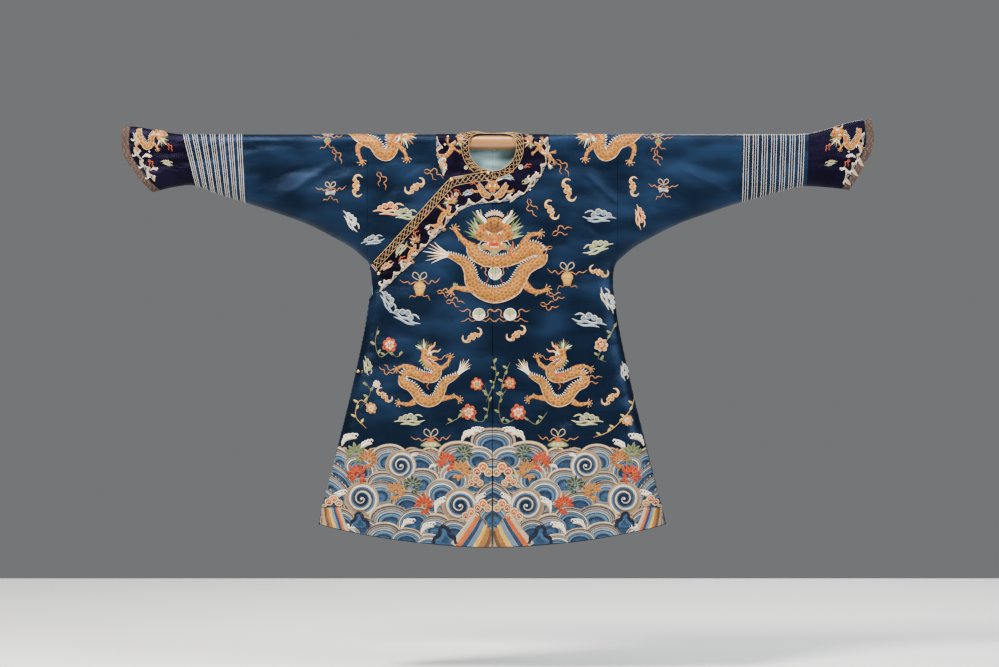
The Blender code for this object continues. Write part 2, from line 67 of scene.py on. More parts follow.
camera_data = bpy.data.cameras.new("view")
camera_data.sensor_width = 36.0
camera_data.lens = 36.0 * CAMERA_DISTANCE / (PICTURE[0] * SQUARE)
camera = bpy.data.objects.new("view", camera_data)
camera.location = (
    (PICTURE[0] / 2 - CHART_X) * SQUARE,
    -CAMERA_DISTANCE,
    (CHART_Y - PICTURE[1] / 2) * SQUARE,
)
camera.rotation_euler = (math.pi / 2, 0.0, 0.0)
bpy.context.scene.collection.objects.link(camera)
bpy.context.scene.camera = camera
print("lens", round(camera_data.lens, 1), "mm")

# %% [markdown]
# ## The shape of the hanging cloth
# These are the sizes of the cut: the rod, the underarm curve, the side seam, the hem. Large folds
# are soft ridges and troughs along lines. Small creases are added here, which the solids leave out.

# %% Sizes of the cut
ROD_RADIUS = 0.020
ROD_LENGTH = 1.720
SEAM_GAP = 0.0003
CLOTH = 0.0020
FACING = 0.0010
TRIM = 0.0008
OVERLAP_GAP = 0.0020
LINING = 0.0008
SLEEVE_SEAM_X = 0.352
HEM_DROP = 1.141
HEM_RISE = 0.065
NECK_RADIUS = 0.067
NECK_CENTRE_V = 0.047
NECK_BACK_V = 0.0055
TRIM_WIDTH = 0.021
FACING_RADIUS = 0.160
FACING_BACK_V = -0.092
VENT_TOP = 0.800
VENT_HALF_GAP = 0.0022
FLAP_HEM = 1.060
FLAP_EDGE_X = 0.030
FLAP_DEPTH = 0.0050
FLAP_SIDE_ROOM = 0.0060
HEM_HALF_DEPTH = 0.036
EDGE_ROUND = 0.050
CUFF_HALF_DEPTH = 0.012
CUFF_BAND_WIDTH = 0.022
INNER_RADIUS = (ROD_RADIUS + SEAM_GAP) / math.cos(math.pi / 16)
ARC = INNER_RADIUS * math.pi / 2

SIDES = (("left", 1), ("right", -1))

# Underarm edge: (out from the centre, drop below the rod's axis)
UNDERARM = [(0.352, 0.334), (0.395, 0.297), (0.437, 0.272), (0.522, 0.229), (0.606, 0.198), (0.690, 0.170)]
# Side seam: (drop, half width)
SIDE_SEAM = [(0.365, 0.341), (0.467, 0.348), (0.670, 0.388), (0.873, 0.438), (1.100, 0.496)]
SILHOUETTE = [(drop, x) for x, drop in reversed(UNDERARM)] + SIDE_SEAM
SLEEVE_ENDS = {
    1: {
        "band_top": 0.705, "band_bottom": 0.700, "cuff_top": 0.892, "cuff_bottom": 0.886,
        "end_top": 1.069, "end_bottom": 1.007, "end_bulge": 0.012, "rise": 0.043,
        "bottom": [(0.775, 0.147), (0.865, 0.123), (0.950, 0.125), (1.020, 0.134)],
    },
    -1: {
        "band_top": 0.703, "band_bottom": 0.694, "cuff_top": 0.876, "cuff_bottom": 0.838,
        "end_top": 1.043, "end_bottom": 0.959, "end_bulge": 0.010, "rise": 0.024,
        "bottom": [(0.775, 0.143), (0.845, 0.119), (0.900, 0.124), (0.965, 0.140)],
    },
}

# %% Overlap's edge, folds and creases


def rows(numbers):
    """An array from text; each comma starts a new row."""
    return np.array([row.split() for row in numbers.split(",")], float)


# Thousandths of edge_x, edge_drop, low_x, low_drop and hem_share along the overlap's slanting edge
LAPEL = rows("""
    0 81 0 173 0, 40 87 30 175 100, 85 94.5 62 181 200, 112 99 85 191 280, 123 106 100 201 340,
    150 135 114 216 420, 190 179.5 140 249 520, 240 234.5 188 297 640, 290 289.5 238 345 760,
    326 329 283 396 870, 337 342 320 428 945, 340.8 348 337.5 440 985, 341.2 352 344 444 1000""") / 1000

# For each half and face (1 is left and front): from and to, each out and down, then half width and height,
# in millimetres; a height below 0 is a trough
FOLDS = {
    (1, 1): """
        205 70 345 250 34 5.5, 270 40 420 215 30 -4.5, 390 50 600 150 30 5, 480 30 680 105 24 -4.5,
        230 560 270 1120 55 8, 370 700 430 1080 42 6, 120 620 140 1130 50 -6""",
    (-1, 1): """
        230 400 90 560 45 6, 300 470 170 640 40 -5, 370 80 520 190 32 5, 470 40 640 120 26 -4.5,
        280 700 340 1110 50 7.5, 150 720 170 1130 50 -6""",
    (1, -1): """
        200 80 340 260 34 5, 400 50 600 140 30 4.5, 240 520 290 1120 55 8, 110 600 120 1130 50 -5.5""",
    (-1, -1): """
        210 80 350 250 34 5, 410 60 610 150 30 4.5, 300 560 350 1110 52 8, 150 640 160 1130 50 -5.5""",
}
# Narrow creases, in the same columns, which the solids leave out
CREASES = {
    (1, 1): """
        165 95 300 205 14 2, 175 130 330 285 14 -2, 120 190 260 330 13 1.8, 250 80 350 170 9 1.8,
        340 100 470 215 10 2, 420 60 560 165 9 -1.8, 520 70 660 140 8 1.6, 30 560 340 553 6 1,
        280 360 330 600 16 1.6, 60 420 240 380 12 1.4""",
    (-1, 1): """
        165 70 250 110 12 1.2, 210 60 340 190 16 -1.6, 360 120 480 210 10 2, 430 50 580 150 9 1.8,
        540 60 670 130 8 -1.6, 120 270 40 360 13 2.2, 170 330 60 430 12 -1.8, 30 556 330 566 6 1,
        290 430 210 560 14 2, 330 500 300 700 14 -1.6""",
    (1, -1): """
        160 110 300 240 12 2, 230 80 350 200 10 -1.8, 360 90 500 200 10 1.8, 460 50 640 130 9 1.6,
        40 470 300 480 7 1, 250 370 310 640 16 1.6""",
    (-1, -1): """
        160 120 290 240 12 2, 240 70 350 190 10 -1.8, 370 100 500 200 10 1.8, 480 50 650 130 9 1.6,
        40 480 300 474 7 1, 230 380 300 660 16 1.6""",
}
RIDGES = {face: rows(FOLDS[face] + "," + CREASES[face]) / 1000 for face in FOLDS}
print("folds and creases:", sum(len(found) for found in RIDGES.values()))

# %% Cloth function


def smooth_step(t):
    t = np.clip(t, 0.0, 1.0)
    return t * t * (3 - 2 * t)


def read_row(rows, key):
    """The second column of rows at this key, on a smooth curve through them, straight past the ends."""
    slopes = [(b[1] - a[1]) / (b[0] - a[0]) for a, b in zip(rows, rows[1:])]
    if key <= rows[0][0]:
        return rows[0][1] + slopes[0] * (key - rows[0][0])
    if key >= rows[-1][0]:
        return rows[-1][1] + slopes[-1] * (key - rows[-1][0])
    i = max(n for n in range(len(slopes)) if rows[n][0] <= key)
    width = rows[i + 1][0] - rows[i][0]
    t = (key - rows[i][0]) / width
    start = (slopes[max(i - 1, 0)] + slopes[i]) / 2 * width
    end = (slopes[i] + slopes[min(i + 1, len(slopes) - 1)]) / 2 * width
    rise = (2 * t**3 - 3 * t**2 + 1) * rows[i][1] + (3 * t**2 - 2 * t**3) * rows[i + 1][1]
    return rise + (t**3 - 2 * t**2 + t) * start + (t**3 - t**2) * end


def dense(rows, low, high, count=700):
    """The rows as a table fine enough to read straight between its entries."""
    keys = np.linspace(low, high, count)
    return keys, np.array([read_row(rows, key) for key in keys])


SIDE = dense(SILHOUETTE, 0.10, 1.30)
BOTTOM = {half: dense(UNDERARM + SLEEVE_ENDS[half]["bottom"], 0.30, 1.15) for half in (1, -1)}
EDGE_LINE = (np.append(LAPEL[:, 0], 2.0), np.append(LAPEL[:, 1], LAPEL[-1, 1]))


def side_x(drop):
    return np.interp(drop, *SIDE)


def bottom_drop(x, half):
    return np.interp(x, *BOTTOM[half])


def cuff_share(x, half):
    start = ROD_LENGTH / 2
    return smooth_step((x - start) / (SLEEVE_ENDS[half]["end_top"] - start))


def rise(x, half):
    return SLEEVE_ENDS[half]["rise"] * cuff_share(x, half)


DIST_X = np.arange(-0.01, 1.16, 0.0025)
DIST_DROP = np.arange(-0.08, 1.26, 0.0025)


def distance_map(half):
    """How far each place is from the side or underarm edge, on a fine grid."""
    tip = SLEEVE_ENDS[half]["end_bottom"] + 0.08
    xs = np.linspace(tip, SLEEVE_SEAM_X, 60)
    drops = np.linspace(0.334, 1.30, 60)
    line = np.vstack([np.c_[xs, bottom_drop(xs, half)], np.c_[side_x(drops), drops][1:]])
    start, along = line[:-1], np.diff(line, axis=0)
    out = np.empty((len(DIST_X), len(DIST_DROP)))
    for i, x in enumerate(DIST_X):
        offset = np.stack([np.full(len(DIST_DROP), x), DIST_DROP], axis=1)[:, None] - start
        share = np.clip((offset * along).sum(2) / (along**2).sum(1), 0.0, 1.0)
        out[i] = np.sqrt(((offset - along * share[..., None]) ** 2).sum(2).min(1))
    return out


DISTANCE = {half: distance_map(half) for half in (1, -1)}


def edge_distance(x, drop, half):
    fx = np.clip((x - DIST_X[0]) / 0.0025, 0, len(DIST_X) - 1.001)
    fd = np.clip((drop - DIST_DROP[0]) / 0.0025, 0, len(DIST_DROP) - 1.001)
    i, j = fx.astype(int), fd.astype(int)
    a, b = fx - i, fd - j
    grid = DISTANCE[half]
    near = grid[i, j] * (1 - b) + grid[i, j + 1] * b
    far = grid[i + 1, j] * (1 - b) + grid[i + 1, j + 1] * b
    return near * (1 - a) + far * a


# A fold fades out over this much past its ends; one that starts below SKIRT_TOP runs on to the hem
FADE, SKIRT_TOP = 0.03, VENT_TOP * 0.6


def fold_height(x, drop, half, face):
    total = np.zeros_like(x)
    for ax, ad, bx, bd, width, height in RIDGES[half, face]:
        length = math.hypot(bx - ax, bd - ad)
        along = ((x - ax) * (bx - ax) + (drop - ad) * (bd - ad)) / length
        across = ((x - ax) * (bd - ad) - (drop - ad) * (bx - ax)) / length
        room = 0.45 * length
        ends, after = smooth_step((along + FADE) / room), smooth_step((length + FADE - along) / room)
        ends = np.where((ad > SKIRT_TOP) & (drop > ad), ends, ends * after)
        total += height * ends * np.exp(-((across / width) ** 2))
    return total


def half_depth(x, drop, half, face):
    share = smooth_step(drop / HEM_DROP)
    body = INNER_RADIUS + (HEM_HALF_DEPTH - INNER_RADIUS) * share
    flat = (CUFF_HALF_DEPTH - INNER_RADIUS) * cuff_share(x, half)
    inside = np.minimum(1.0, edge_distance(x, drop, half) / EDGE_ROUND)
    closing = (1 - (1 - inside) ** 2) ** 0.62
    below_rod = smooth_step((drop - 0.01) / 0.05)
    return (body + flat) * closing + fold_height(x, drop, half, face) * below_rod * closing + SEAM_GAP / 2


def nape_bow(x, v, half):
    """The stiff band at the back of the neck stands a little up off the rod."""
    height = 0.003 if half > 0 else 0.006
    return height * np.exp(-(((x - 0.050) / 0.020) ** 2) - ((v + 0.004) / 0.013) ** 2)


def cloth_on_half(x, v, half):
    """Points of the cloth's inner skin on one half; x is the distance from the centre seam."""
    out = np.empty((len(x), 3))
    run = np.abs(v)
    for face in (1, -1):
        pick = (v >= 0) if face > 0 else (v < 0)
        if not pick.any():
            continue
        px, pv, pr = x[pick], v[pick], run[pick]
        lift_up = rise(px, half)
        angle = np.minimum(pr / INNER_RADIUS, math.pi / 2)
        over = pr < ARC
        drop = np.where(over, 0.0, pr - ARC - lift_up)
        depth = half_depth(px, drop, half, face)
        bow = np.where(over, nape_bow(px, pv, half), 0.0)
        y = np.where(over, (depth + bow) * np.sin(angle), depth)
        z = np.where(over, lift_up + (INNER_RADIUS + bow) * np.cos(angle), lift_up - (pr - ARC))
        out[pick] = np.stack([px * half, -face * y, z], axis=1)
    return out


def cloth(x, v):
    """Points of the inner skin for signed x (wearer's left is +) and signed v (front is +)."""
    x, v = np.asarray(x, float), np.asarray(v, float)
    out = np.empty((len(x), 3))
    for half in (1, -1):
        pick = (x >= 0) if half > 0 else (x < 0)
        if pick.any():
            out[pick] = cloth_on_half(np.abs(x[pick]), v[pick], half)
    return out


def on_cloth(x, v, lift, limit=None):
    """Points moved out of the cloth's face by lift. No sample is taken past v = limit."""
    x, v, lift = (np.asarray(a, float) for a in np.broadcast_arrays(x, v, lift))
    step = 0.0012
    side = np.where(x >= 0, 1.0, -1.0)
    inner = np.where(np.abs(x) < step, side * 1e-9, x - side * step)
    high, low = v + step, v - step
    if limit is not None:
        high, low = np.minimum(high, limit), np.maximum(low, -limit)
    along_x = (cloth(x + side * step, v) - cloth(inner, v)) * side[:, None]
    along_v = cloth(x, high) - cloth(x, low)
    normal = np.cross(along_v, along_x)
    normal /= np.linalg.norm(normal, axis=1)[:, None] + 1e-12
    return cloth(x, v) + normal * lift[:, None]


test = on_cloth(np.array([0.1, -0.1, 0.3]), np.array([0.3, 0.3, -0.4]), 0.01)
print("three places on the cloth:", np.round(test, 3).tolist())

# %% [markdown]
# ## Small helpers for meshes and materials
# A cloth piece is a grid of places, moved out twice to give an inner and an outer skin and closed
# round its rim, so it has the thickness of real cloth and its lining can be another colour. Grids
# are written straight into the mesh's arrays, which is quick for many small faces.

# %% Mesh helpers


def make_mesh(name, points, quads, triangles=(), uv=None, colour=None, materials=(), slots=None):
    """A mesh object from arrays; uv and colour are given for each point."""
    quads = np.asarray(quads, int).reshape(-1, 4)
    triangles = np.asarray(triangles, int).reshape(-1, 3)
    corners = np.concatenate([quads.ravel(), triangles.ravel()])
    starts = np.concatenate([np.arange(len(quads)) * 4, len(quads) * 4 + np.arange(len(triangles)) * 3])
    mesh = bpy.data.meshes.new(name)
    mesh.vertices.add(len(points))
    mesh.vertices.foreach_set("co", np.asarray(points, np.float32).ravel())
    mesh.loops.add(len(corners))
    mesh.loops.foreach_set("vertex_index", corners.astype(np.int32))
    mesh.polygons.add(len(starts))
    mesh.polygons.foreach_set("loop_start", starts.astype(np.int32))
    if uv is not None:
        layer = mesh.uv_layers.new(name="UVMap")
        layer.data.foreach_set("uv", np.asarray(uv, np.float32)[corners].ravel())
    if colour is not None:
        layer = mesh.color_attributes.new("thread", "FLOAT_COLOR", "POINT")
        layer.data.foreach_set("color", np.c_[colour, np.ones(len(colour))].astype(np.float32).ravel())
    for material in materials:
        mesh.materials.append(material)
    if slots is not None:
        mesh.polygons.foreach_set("material_index", np.asarray(slots, np.int32))
    mesh.update(calc_edges=True)
    mesh.validate()
    mesh.polygons.foreach_set("use_smooth", np.ones(len(mesh.polygons), bool))
    mesh.set_sharp_from_angle(angle=math.radians(50))
    thing = bpy.data.objects.new(name, mesh)
    bpy.context.scene.collection.objects.link(thing)
    return thing


def grid_quads(lines, columns, ring=False, first=0):
    r, c = np.meshgrid(np.arange(lines - 1), np.arange(columns if ring else columns - 1), indexing="ij")
    d = (c + 1) % columns
    a, b = first + r * columns + c, first + r * columns + d
    return np.stack([a, b, b + columns, a + columns], axis=-1).reshape(-1, 4)


def turn_out(points, quads, middle=0.0):
    """The faces of a round shape, turned so that they look away from its middle."""
    across = np.cross(points[quads[:, 2]] - points[quads[:, 0]], points[quads[:, 3]] - points[quads[:, 1]])
    outwards = (across * (points[quads].mean(1) - middle)).sum() > 0
    return quads if outwards else quads[:, ::-1]


def shell(name, inner, outer, uv, materials, ring=False):
    """A closed thin wall between two grids of points, rows x columns x 3; slot 1 is its inner side."""
    lines, columns = inner.shape[:2]
    count = lines * columns
    top = grid_quads(lines, columns, ring)
    low = grid_quads(lines, columns, ring, count)[:, ::-1]
    rims = []
    span = np.arange(columns if ring else columns - 1)
    after = (span + 1) % columns
    last = (lines - 1) * columns
    rims.append(np.stack([span + count, after + count, after, span], 1))
    rims.append(np.stack([last + span, last + after, last + after + count, last + span + count], 1))
    if not ring:
        down = np.arange(lines - 1) * columns
        rims.append(np.stack([down, down + columns, down + columns + count, down + count], 1))
        end = down + columns - 1
        rims.append(np.stack([end + count, end + columns + count, end + columns, end], 1))
    rims = np.concatenate(rims)
    quads = np.concatenate([top, low, rims])
    points = np.concatenate([outer.reshape(-1, 3), inner.reshape(-1, 3)])
    across = np.cross(outer[0, 1] - outer[0, 0], outer[1, 0] - outer[0, 0])
    if (across * (outer[0, 0] - inner[0, 0])).sum() < 0:
        quads = quads[:, ::-1]
    slots = np.zeros(len(quads), int)
    if len(materials) > 1:
        slots[len(top) : len(top) * 2] = 1
    flat = uv.reshape(-1, 2)
    return make_mesh(name, points, quads, (), np.concatenate([flat, flat]), None, materials, slots)


def layer(name, x, v, extra, low_lift, thickness, materials):
    """A wall over a grid of places x, v, moved out by low_lift + extra, for signed x and v."""
    shape = x.shape
    flat_x, flat_v, flat_extra = x.ravel(), v.ravel(), np.broadcast_to(extra, shape).ravel()
    inner = on_cloth(flat_x, flat_v, flat_extra + low_lift).reshape(*shape, 3)
    outer = on_cloth(flat_x, flat_v, flat_extra + low_lift + thickness).reshape(*shape, 3)
    return shell(name, inner, outer, np.stack([x, v], axis=-1), materials)


# %% Material helpers


class Shader:
    """A new material and short calls for adding and joining its nodes."""

    def __init__(self, name):
        self.material = bpy.data.materials.new(name)
        self.material.use_nodes = True
        self.nodes = self.material.node_tree.nodes
        self.links = self.material.node_tree.links
        self.surface = self.nodes["Principled BSDF"]

    def add(self, kind, values=(), **settings):
        node = self.nodes.new(kind)
        for key, value in settings.items():
            setattr(node, key, value)
        for key, value in dict(values).items():
            self.join(value, node.inputs[key])
        return node

    def join(self, value, socket):
        if isinstance(value, bpy.types.NodeSocket):
            self.links.new(value, socket)
        else:
            socket.default_value = value

    def math(self, operation, a, b=0.0, c=0.0):
        return self.add("ShaderNodeMath", {0: a, 1: b, 2: c}, operation=operation).outputs[0]

    def ramp(self, value, stops):
        node = self.add("ShaderNodeValToRGB", {"Fac": value})
        ramp = node.color_ramp
        while len(ramp.elements) < len(stops):
            ramp.elements.new(0.5)
        for element, (place, colour) in zip(ramp.elements, stops):
            element.position = place
            element.color = (*colour, 1.0)
        return node.outputs["Color"]

    def mix(self, share, a, b, blend="MIX"):
        node = self.add("ShaderNodeMix", data_type="RGBA", blend_type=blend)
        self.join(share, node.inputs[0])
        self.join(a if isinstance(a, bpy.types.NodeSocket) else (*a, 1.0), node.inputs[6])
        self.join(b if isinstance(b, bpy.types.NodeSocket) else (*b, 1.0), node.inputs[7])
        return node.outputs[2]

    def noise(self, scale, detail=3.0, vector=None, roughness=0.55):
        values = {"Scale": scale, "Detail": detail, "Roughness": roughness}
        if vector is not None:
            values["Vector"] = vector
        return self.add("ShaderNodeTexNoise", values).outputs["Fac"]

    def place(self):
        return self.add("ShaderNodeTexCoord").outputs["Object"]

    def uv(self):
        split = self.add("ShaderNodeSeparateXYZ", {0: self.add("ShaderNodeUVMap", uv_map="UVMap").outputs[0]})
        return split.outputs[0], split.outputs[1]

    def wave(self, value, period):
        """A smooth 0 to 1 wave along value."""
        turn = self.math("MULTIPLY", value, 2 * math.pi / period)
        return self.math("MULTIPLY_ADD", self.math("SINE", turn), 0.5, 0.5)

    def bump(self, height, distance, strength=1.0):
        node = self.add("ShaderNodeBump", {"Height": height, "Distance": distance, "Strength": strength})
        self.join(node.outputs["Normal"], self.surface.inputs["Normal"])

    def finish(self, colour, roughness, **more):
        self.join(
            colour if isinstance(colour, bpy.types.NodeSocket) else (*colour, 1.0),
            self.surface.inputs["Base Color"],
        )
        self.join(roughness, self.surface.inputs["Roughness"])
        for key, value in more.items():
            self.surface.inputs[key.replace("_", " ").title().replace("Ior", "IOR")].default_value = value
        return self.material


# %% [markdown]
# ## Cloth materials
# The ground is a satin-woven silk: fine threads both ways, a roughness that varies in soft clouds and a
# bluish sheen. Its colour carries painted sheen in pale cloudy patches and painted light that makes it
# paler towards the top. The same recipe, with other colours and sizes, gives the dark satin of cuffs
# and facings and the thin pale lining.

# %% Cloth materials


def silk(name, deep, bright, thread, roughness, gloss, cloud=2.6, grid=0.0, tint=(0.28, 0.50, 1.0)):
    s = Shader(name)
    place = s.place()
    across, down = s.uv()
    clouds = s.noise(cloud, 4.0, place)
    stretched = s.add("ShaderNodeMapping", {"Vector": place, "Scale": (1.0, 1.0, 2.3)}).outputs[0]
    ripples = s.noise(cloud * 3.0, 1.6, stretched, 0.45)
    height = s.add("ShaderNodeSeparateXYZ", {0: place}).outputs[2]
    # Painted light: the colour grows paler towards the top, as if lit from above
    painted_top_light = s.math("MULTIPLY_ADD", height, 0.42, 0.20)
    # Painted sheen: clouds and ripples lift the colour from deep towards bright in pale patches
    share = s.math(
        "MULTIPLY_ADD", ripples, 2.5, s.math("MULTIPLY_ADD", clouds, 2.1, s.math("SUBTRACT", painted_top_light, 1.98)),
    )
    share = s.add("ShaderNodeClamp", {"Value": share}).outputs[0]
    colour = s.mix(s.math("POWER", share, 1.35), deep, bright)
    weave = s.math("MULTIPLY", s.wave(down, thread), s.wave(across, thread * 1.3))
    if grid:
        lines = s.math("MAXIMUM", s.wave(across, grid), s.wave(down, grid * 1.08))
        colour = s.mix(s.math("MULTIPLY", lines, 0.10), colour, tuple(c * 2.2 for c in bright))
    slub = s.noise(900.0, 2.0, place)
    rough = s.math("MULTIPLY_ADD", clouds, 0.16, roughness - 0.08)
    s.bump(s.math("MULTIPLY_ADD", slub, 0.5, weave), 0.00022, 0.55)
    soft = s.add("ShaderNodeBump", {"Height": ripples, "Distance": 0.010, "Strength": 1.0})
    s.join(soft.outputs["Normal"], s.surface.inputs["Normal"].links[0].from_node.inputs["Normal"])
    s.surface.inputs["Specular IOR Level"].default_value = gloss
    return s.finish(colour, rough, specular_tint=(*tint, 1.0))


SILK = silk("blue_silk", (0.0002, 0.0006, 0.0018), (0.0038, 0.0100, 0.0235), 0.0011, 0.35, 0.19, 2.6, 0.0056)
NAVY = silk(
    "navy_satin", (0.0006, 0.0004, 0.0015), (0.0028, 0.0019, 0.0062), 0.0010, 0.38, 0.08, 4.0, 0.0,
    (0.5, 0.4, 1.0),
)
LINING_SILK = silk(
    "pale_blue_lining", (0.095, 0.165, 0.180), (0.200, 0.290, 0.300), 0.0009, 0.50, 0.15, 5.0, 0.0,
    (1.0, 1.0, 1.0),
)
BAND_SILK = silk(
    "band_silk", (0.0006, 0.0017, 0.0045), (0.0038, 0.0100, 0.0230), 0.0011, 0.38, 0.18, 3.4, 0.0056,
)


def brocade(name):
    """Brown ribbon woven with a small running pattern, some of its threads paler."""
    s = Shader(name)
    across, down = s.uv()
    place = s.place()
    vine = s.wave(s.math("MULTIPLY_ADD", s.wave(down, 0.022), 0.0060, across), 0.0105)
    buds = s.add("ShaderNodeTexVoronoi", {"Scale": 150.0, "Vector": place}).outputs["Distance"]
    share = s.math("MULTIPLY", s.math("GREATER_THAN", vine, 0.72), s.math("LESS_THAN", buds, 0.62))
    ground = s.mix(s.noise(60.0, 3.0, place), (0.022, 0.013, 0.010), (0.046, 0.028, 0.021))
    figure = s.mix(s.noise(240.0, 2.0, place), (0.048, 0.031, 0.023), (0.085, 0.057, 0.042))
    weave = s.wave(down, 0.0010)
    s.bump(s.math("MULTIPLY_ADD", share, 1.4, weave), 0.00025, 0.7)
    s.surface.inputs["Specular IOR Level"].default_value = 0.1
    return s.finish(s.mix(share, ground, figure), 0.62)


BROCADE = brocade("brown_brocade")

# %% [markdown]
# ## Thread materials
# Needlework is thread laid side by side. Every stitched shape carries its thread's colour as an
# attribute, and a UV map that runs along and across it, so one material can draw the fine lines of
# satin stitch in the right direction on all of them. Couched gold gets scales instead of lines.

# %% Thread materials


def thread_colour(s):
    return s.add("ShaderNodeAttribute", attribute_name="thread").outputs["Color"]


def satin_stitch(name, pitch=0.0020, roughness=0.42):
    s = Shader(name)
    along = s.uv()[0]
    place = s.place()
    base = thread_colour(s)
    lines = s.wave(s.math("MULTIPLY_ADD", s.noise(120.0, 2.0, place), 0.0016, along), pitch)
    shade = s.mix(
        s.math("MULTIPLY_ADD", lines, -0.62, 0.62), base, s.mix(1.0, base, (0.16, 0.15, 0.17), "MULTIPLY"),
    )
    worn = s.math("MULTIPLY_ADD", s.noise(46.0, 4.0, place), 1.6, -0.5)
    colour = s.mix(worn, shade, s.mix(1.0, shade, (0.60, 0.56, 0.52), "MULTIPLY"))
    # Painted sheen: small pale bluish glints added to the thread's colour
    painted_glint = s.add(
        "ShaderNodeClamp", {"Value": s.math("MULTIPLY_ADD", s.noise(300.0, 2.0, place), 3.4, -1.9)},
    ).outputs[0]
    colour = s.mix(painted_glint, colour, s.mix(1.0, base, (0.035, 0.050, 0.070), "ADD"))
    s.bump(lines, 0.00028, 0.8)
    s.surface.inputs["Specular IOR Level"].default_value = 0.12
    return s.finish(colour, roughness)


def gold_scales(name):
    """Gold thread couched in overlapping scales: rows of arcs, each row half a scale on."""
    s = Shader(name)
    along, across = s.uv()
    base = thread_colour(s)
    size = 0.0105
    row = s.math("DIVIDE", along, size)
    shift = s.math("MULTIPLY", s.math("MODULO", s.math("FLOOR", row), 2.0), 0.5)
    cell = s.math("SUBTRACT", s.math("FRACT", s.math("ADD", s.math("DIVIDE", across, size), shift)), 0.5)
    bulge = s.math("MULTIPLY", s.math("MULTIPLY", cell, cell), 2.6)
    from_tip = s.math("FRACT", s.math("ADD", s.math("FRACT", row), bulge))
    edge = s.math("SMOOTH_MIN", s.math("MULTIPLY", from_tip, 1.7), 1.0, 0.3)
    stitches = s.wave(along, 0.0009)
    dark = s.mix(1.0, base, (0.13, 0.060, 0.035), "MULTIPLY")
    colour = s.mix(s.math("MULTIPLY_ADD", stitches, 0.14, s.math("MULTIPLY", edge, 0.86)), dark, base)
    worn = s.math("MULTIPLY_ADD", s.noise(75.0, 4.0, s.place()), 2.2, -0.85)
    colour = s.mix(worn, colour, s.mix(1.0, colour, (0.52, 0.38, 0.28), "MULTIPLY"))
    s.bump(s.math("MULTIPLY_ADD", stitches, 0.25, edge), 0.00045, 0.8)
    s.surface.inputs["Specular IOR Level"].default_value = 0.2
    return s.finish(colour, 0.42, metallic=0.12)


def twisted_cord(name, gloss=0.5):
    s = Shader(name)
    base = thread_colour(s)
    place = s.place()
    strands = s.noise(700.0, 2.0, place)
    share = s.math(
        "MULTIPLY_ADD", strands, 0.7, s.math("MULTIPLY_ADD", s.noise(60.0, 3.0, place), 0.6, -0.30),
    )
    s.bump(strands, 0.0003, 0.9)
    s.surface.inputs["Specular IOR Level"].default_value = gloss
    return s.finish(s.mix(share, s.mix(1.0, base, (0.40, 0.28, 0.22), "MULTIPLY"), base), 0.45, metallic=0.10)


STITCH = satin_stitch("silk_thread")
GOLD = gold_scales("gold_couching")
CORD, SEAM_CORD = twisted_cord("couched_cord"), twisted_cord("seam_thread", 0.04)
print("materials:", len(bpy.data.materials))

# %% [markdown]
# ## The cut of the pieces
# Each piece is a table of places: rows run down the cloth and columns across it. The neck is a round
# hole in front and flat behind, and the front opening slants from the neck to the right underarm.
# The rows of a half run from the back hem over the rod to the front hem, as the silk does.

# %% Grids of places


def drawn(path):
    """The places of a path given as text or as numbers."""
    return rows(path) if isinstance(path, str) else np.asarray(path, float)


def sided(path, side):
    """The places of a path, or of its mirror image where side is -1."""
    return drawn(path) * [side, 1]


def smooth_path(points, count, closed=False):
    """count points evenly along a smooth curve through these."""
    p = drawn(points)
    if closed:
        p = np.vstack([p[-1], p, p[0], p[1]])
    else:
        p = np.vstack([2 * p[0] - p[1], p, 2 * p[-1] - p[-2]])
    t = np.linspace(0, 1, 9)[:-1][:, None]
    spans = []
    for a, b, c, d in zip(p, p[1:], p[2:], p[3:]):
        bend, twist = 2 * a - 5 * b + 4 * c - d, 3 * b - a - 3 * c + d
        spans.append(0.5 * (2 * b + (c - a) * t + bend * t**2 + twist * t**3))
    fine = np.vstack(spans + [p[-2:-1]])
    length = distances(fine[:, :2])
    want = np.linspace(0, length[-1], count)
    return np.stack([np.interp(want, length, fine[:, k]) for k in range(fine.shape[1])], axis=1)


def directions(line):
    """Unit steps along a line of places, and to its side."""
    tangent = np.gradient(line, axis=0)
    tangent /= np.linalg.norm(tangent, axis=1)[:, None] + 1e-9
    return tangent, np.stack([-tangent[:, 1], tangent[:, 0]], axis=1)


def distances(line):
    """How far each place of a line is from its start."""
    return np.concatenate([[0], np.cumsum(np.linalg.norm(np.diff(line, axis=0), axis=1))])


def collar_x(radius, back_v, v):
    front = np.sqrt(np.maximum(0.0, radius**2 - (v - NECK_CENTRE_V) ** 2))
    share = np.clip((NECK_CENTRE_V - v) / (NECK_CENTRE_V - back_v), 0.0, 0.975)
    return np.where(v >= NECK_CENTRE_V, front, radius * (1 - share**3) ** (1 / 3))


def neck_x(v):
    return np.where(v > NECK_BACK_V + 1e-6, collar_x(NECK_RADIUS, NECK_BACK_V, v), 0.0)


def vent_edge(drop):
    return SEAM_GAP / 2 + VENT_HALF_GAP * smooth_step((drop - VENT_TOP) / (HEM_DROP - VENT_TOP))


def flap_edge(drop):
    below_neck = smooth_step((drop + ARC - NECK_CENTRE_V - NECK_RADIUS + 0.01) / 0.05)
    return 0.004 + (FLAP_EDGE_X - 0.004) * below_neck


def side_edge(drop):
    return np.where(drop <= UNDERARM[0][1], SLEEVE_SEAM_X - SEAM_GAP / 2, side_x(drop))


def hem_drop(share):
    return HEM_DROP - HEM_RISE * share**1.8


def beside_lapel(x, drop):
    return drop - np.interp(np.abs(x), *EDGE_LINE)


def overlap_lift(x):
    return (CLOTH + OVERLAP_GAP) * smooth_step(np.abs(x) / 0.045)


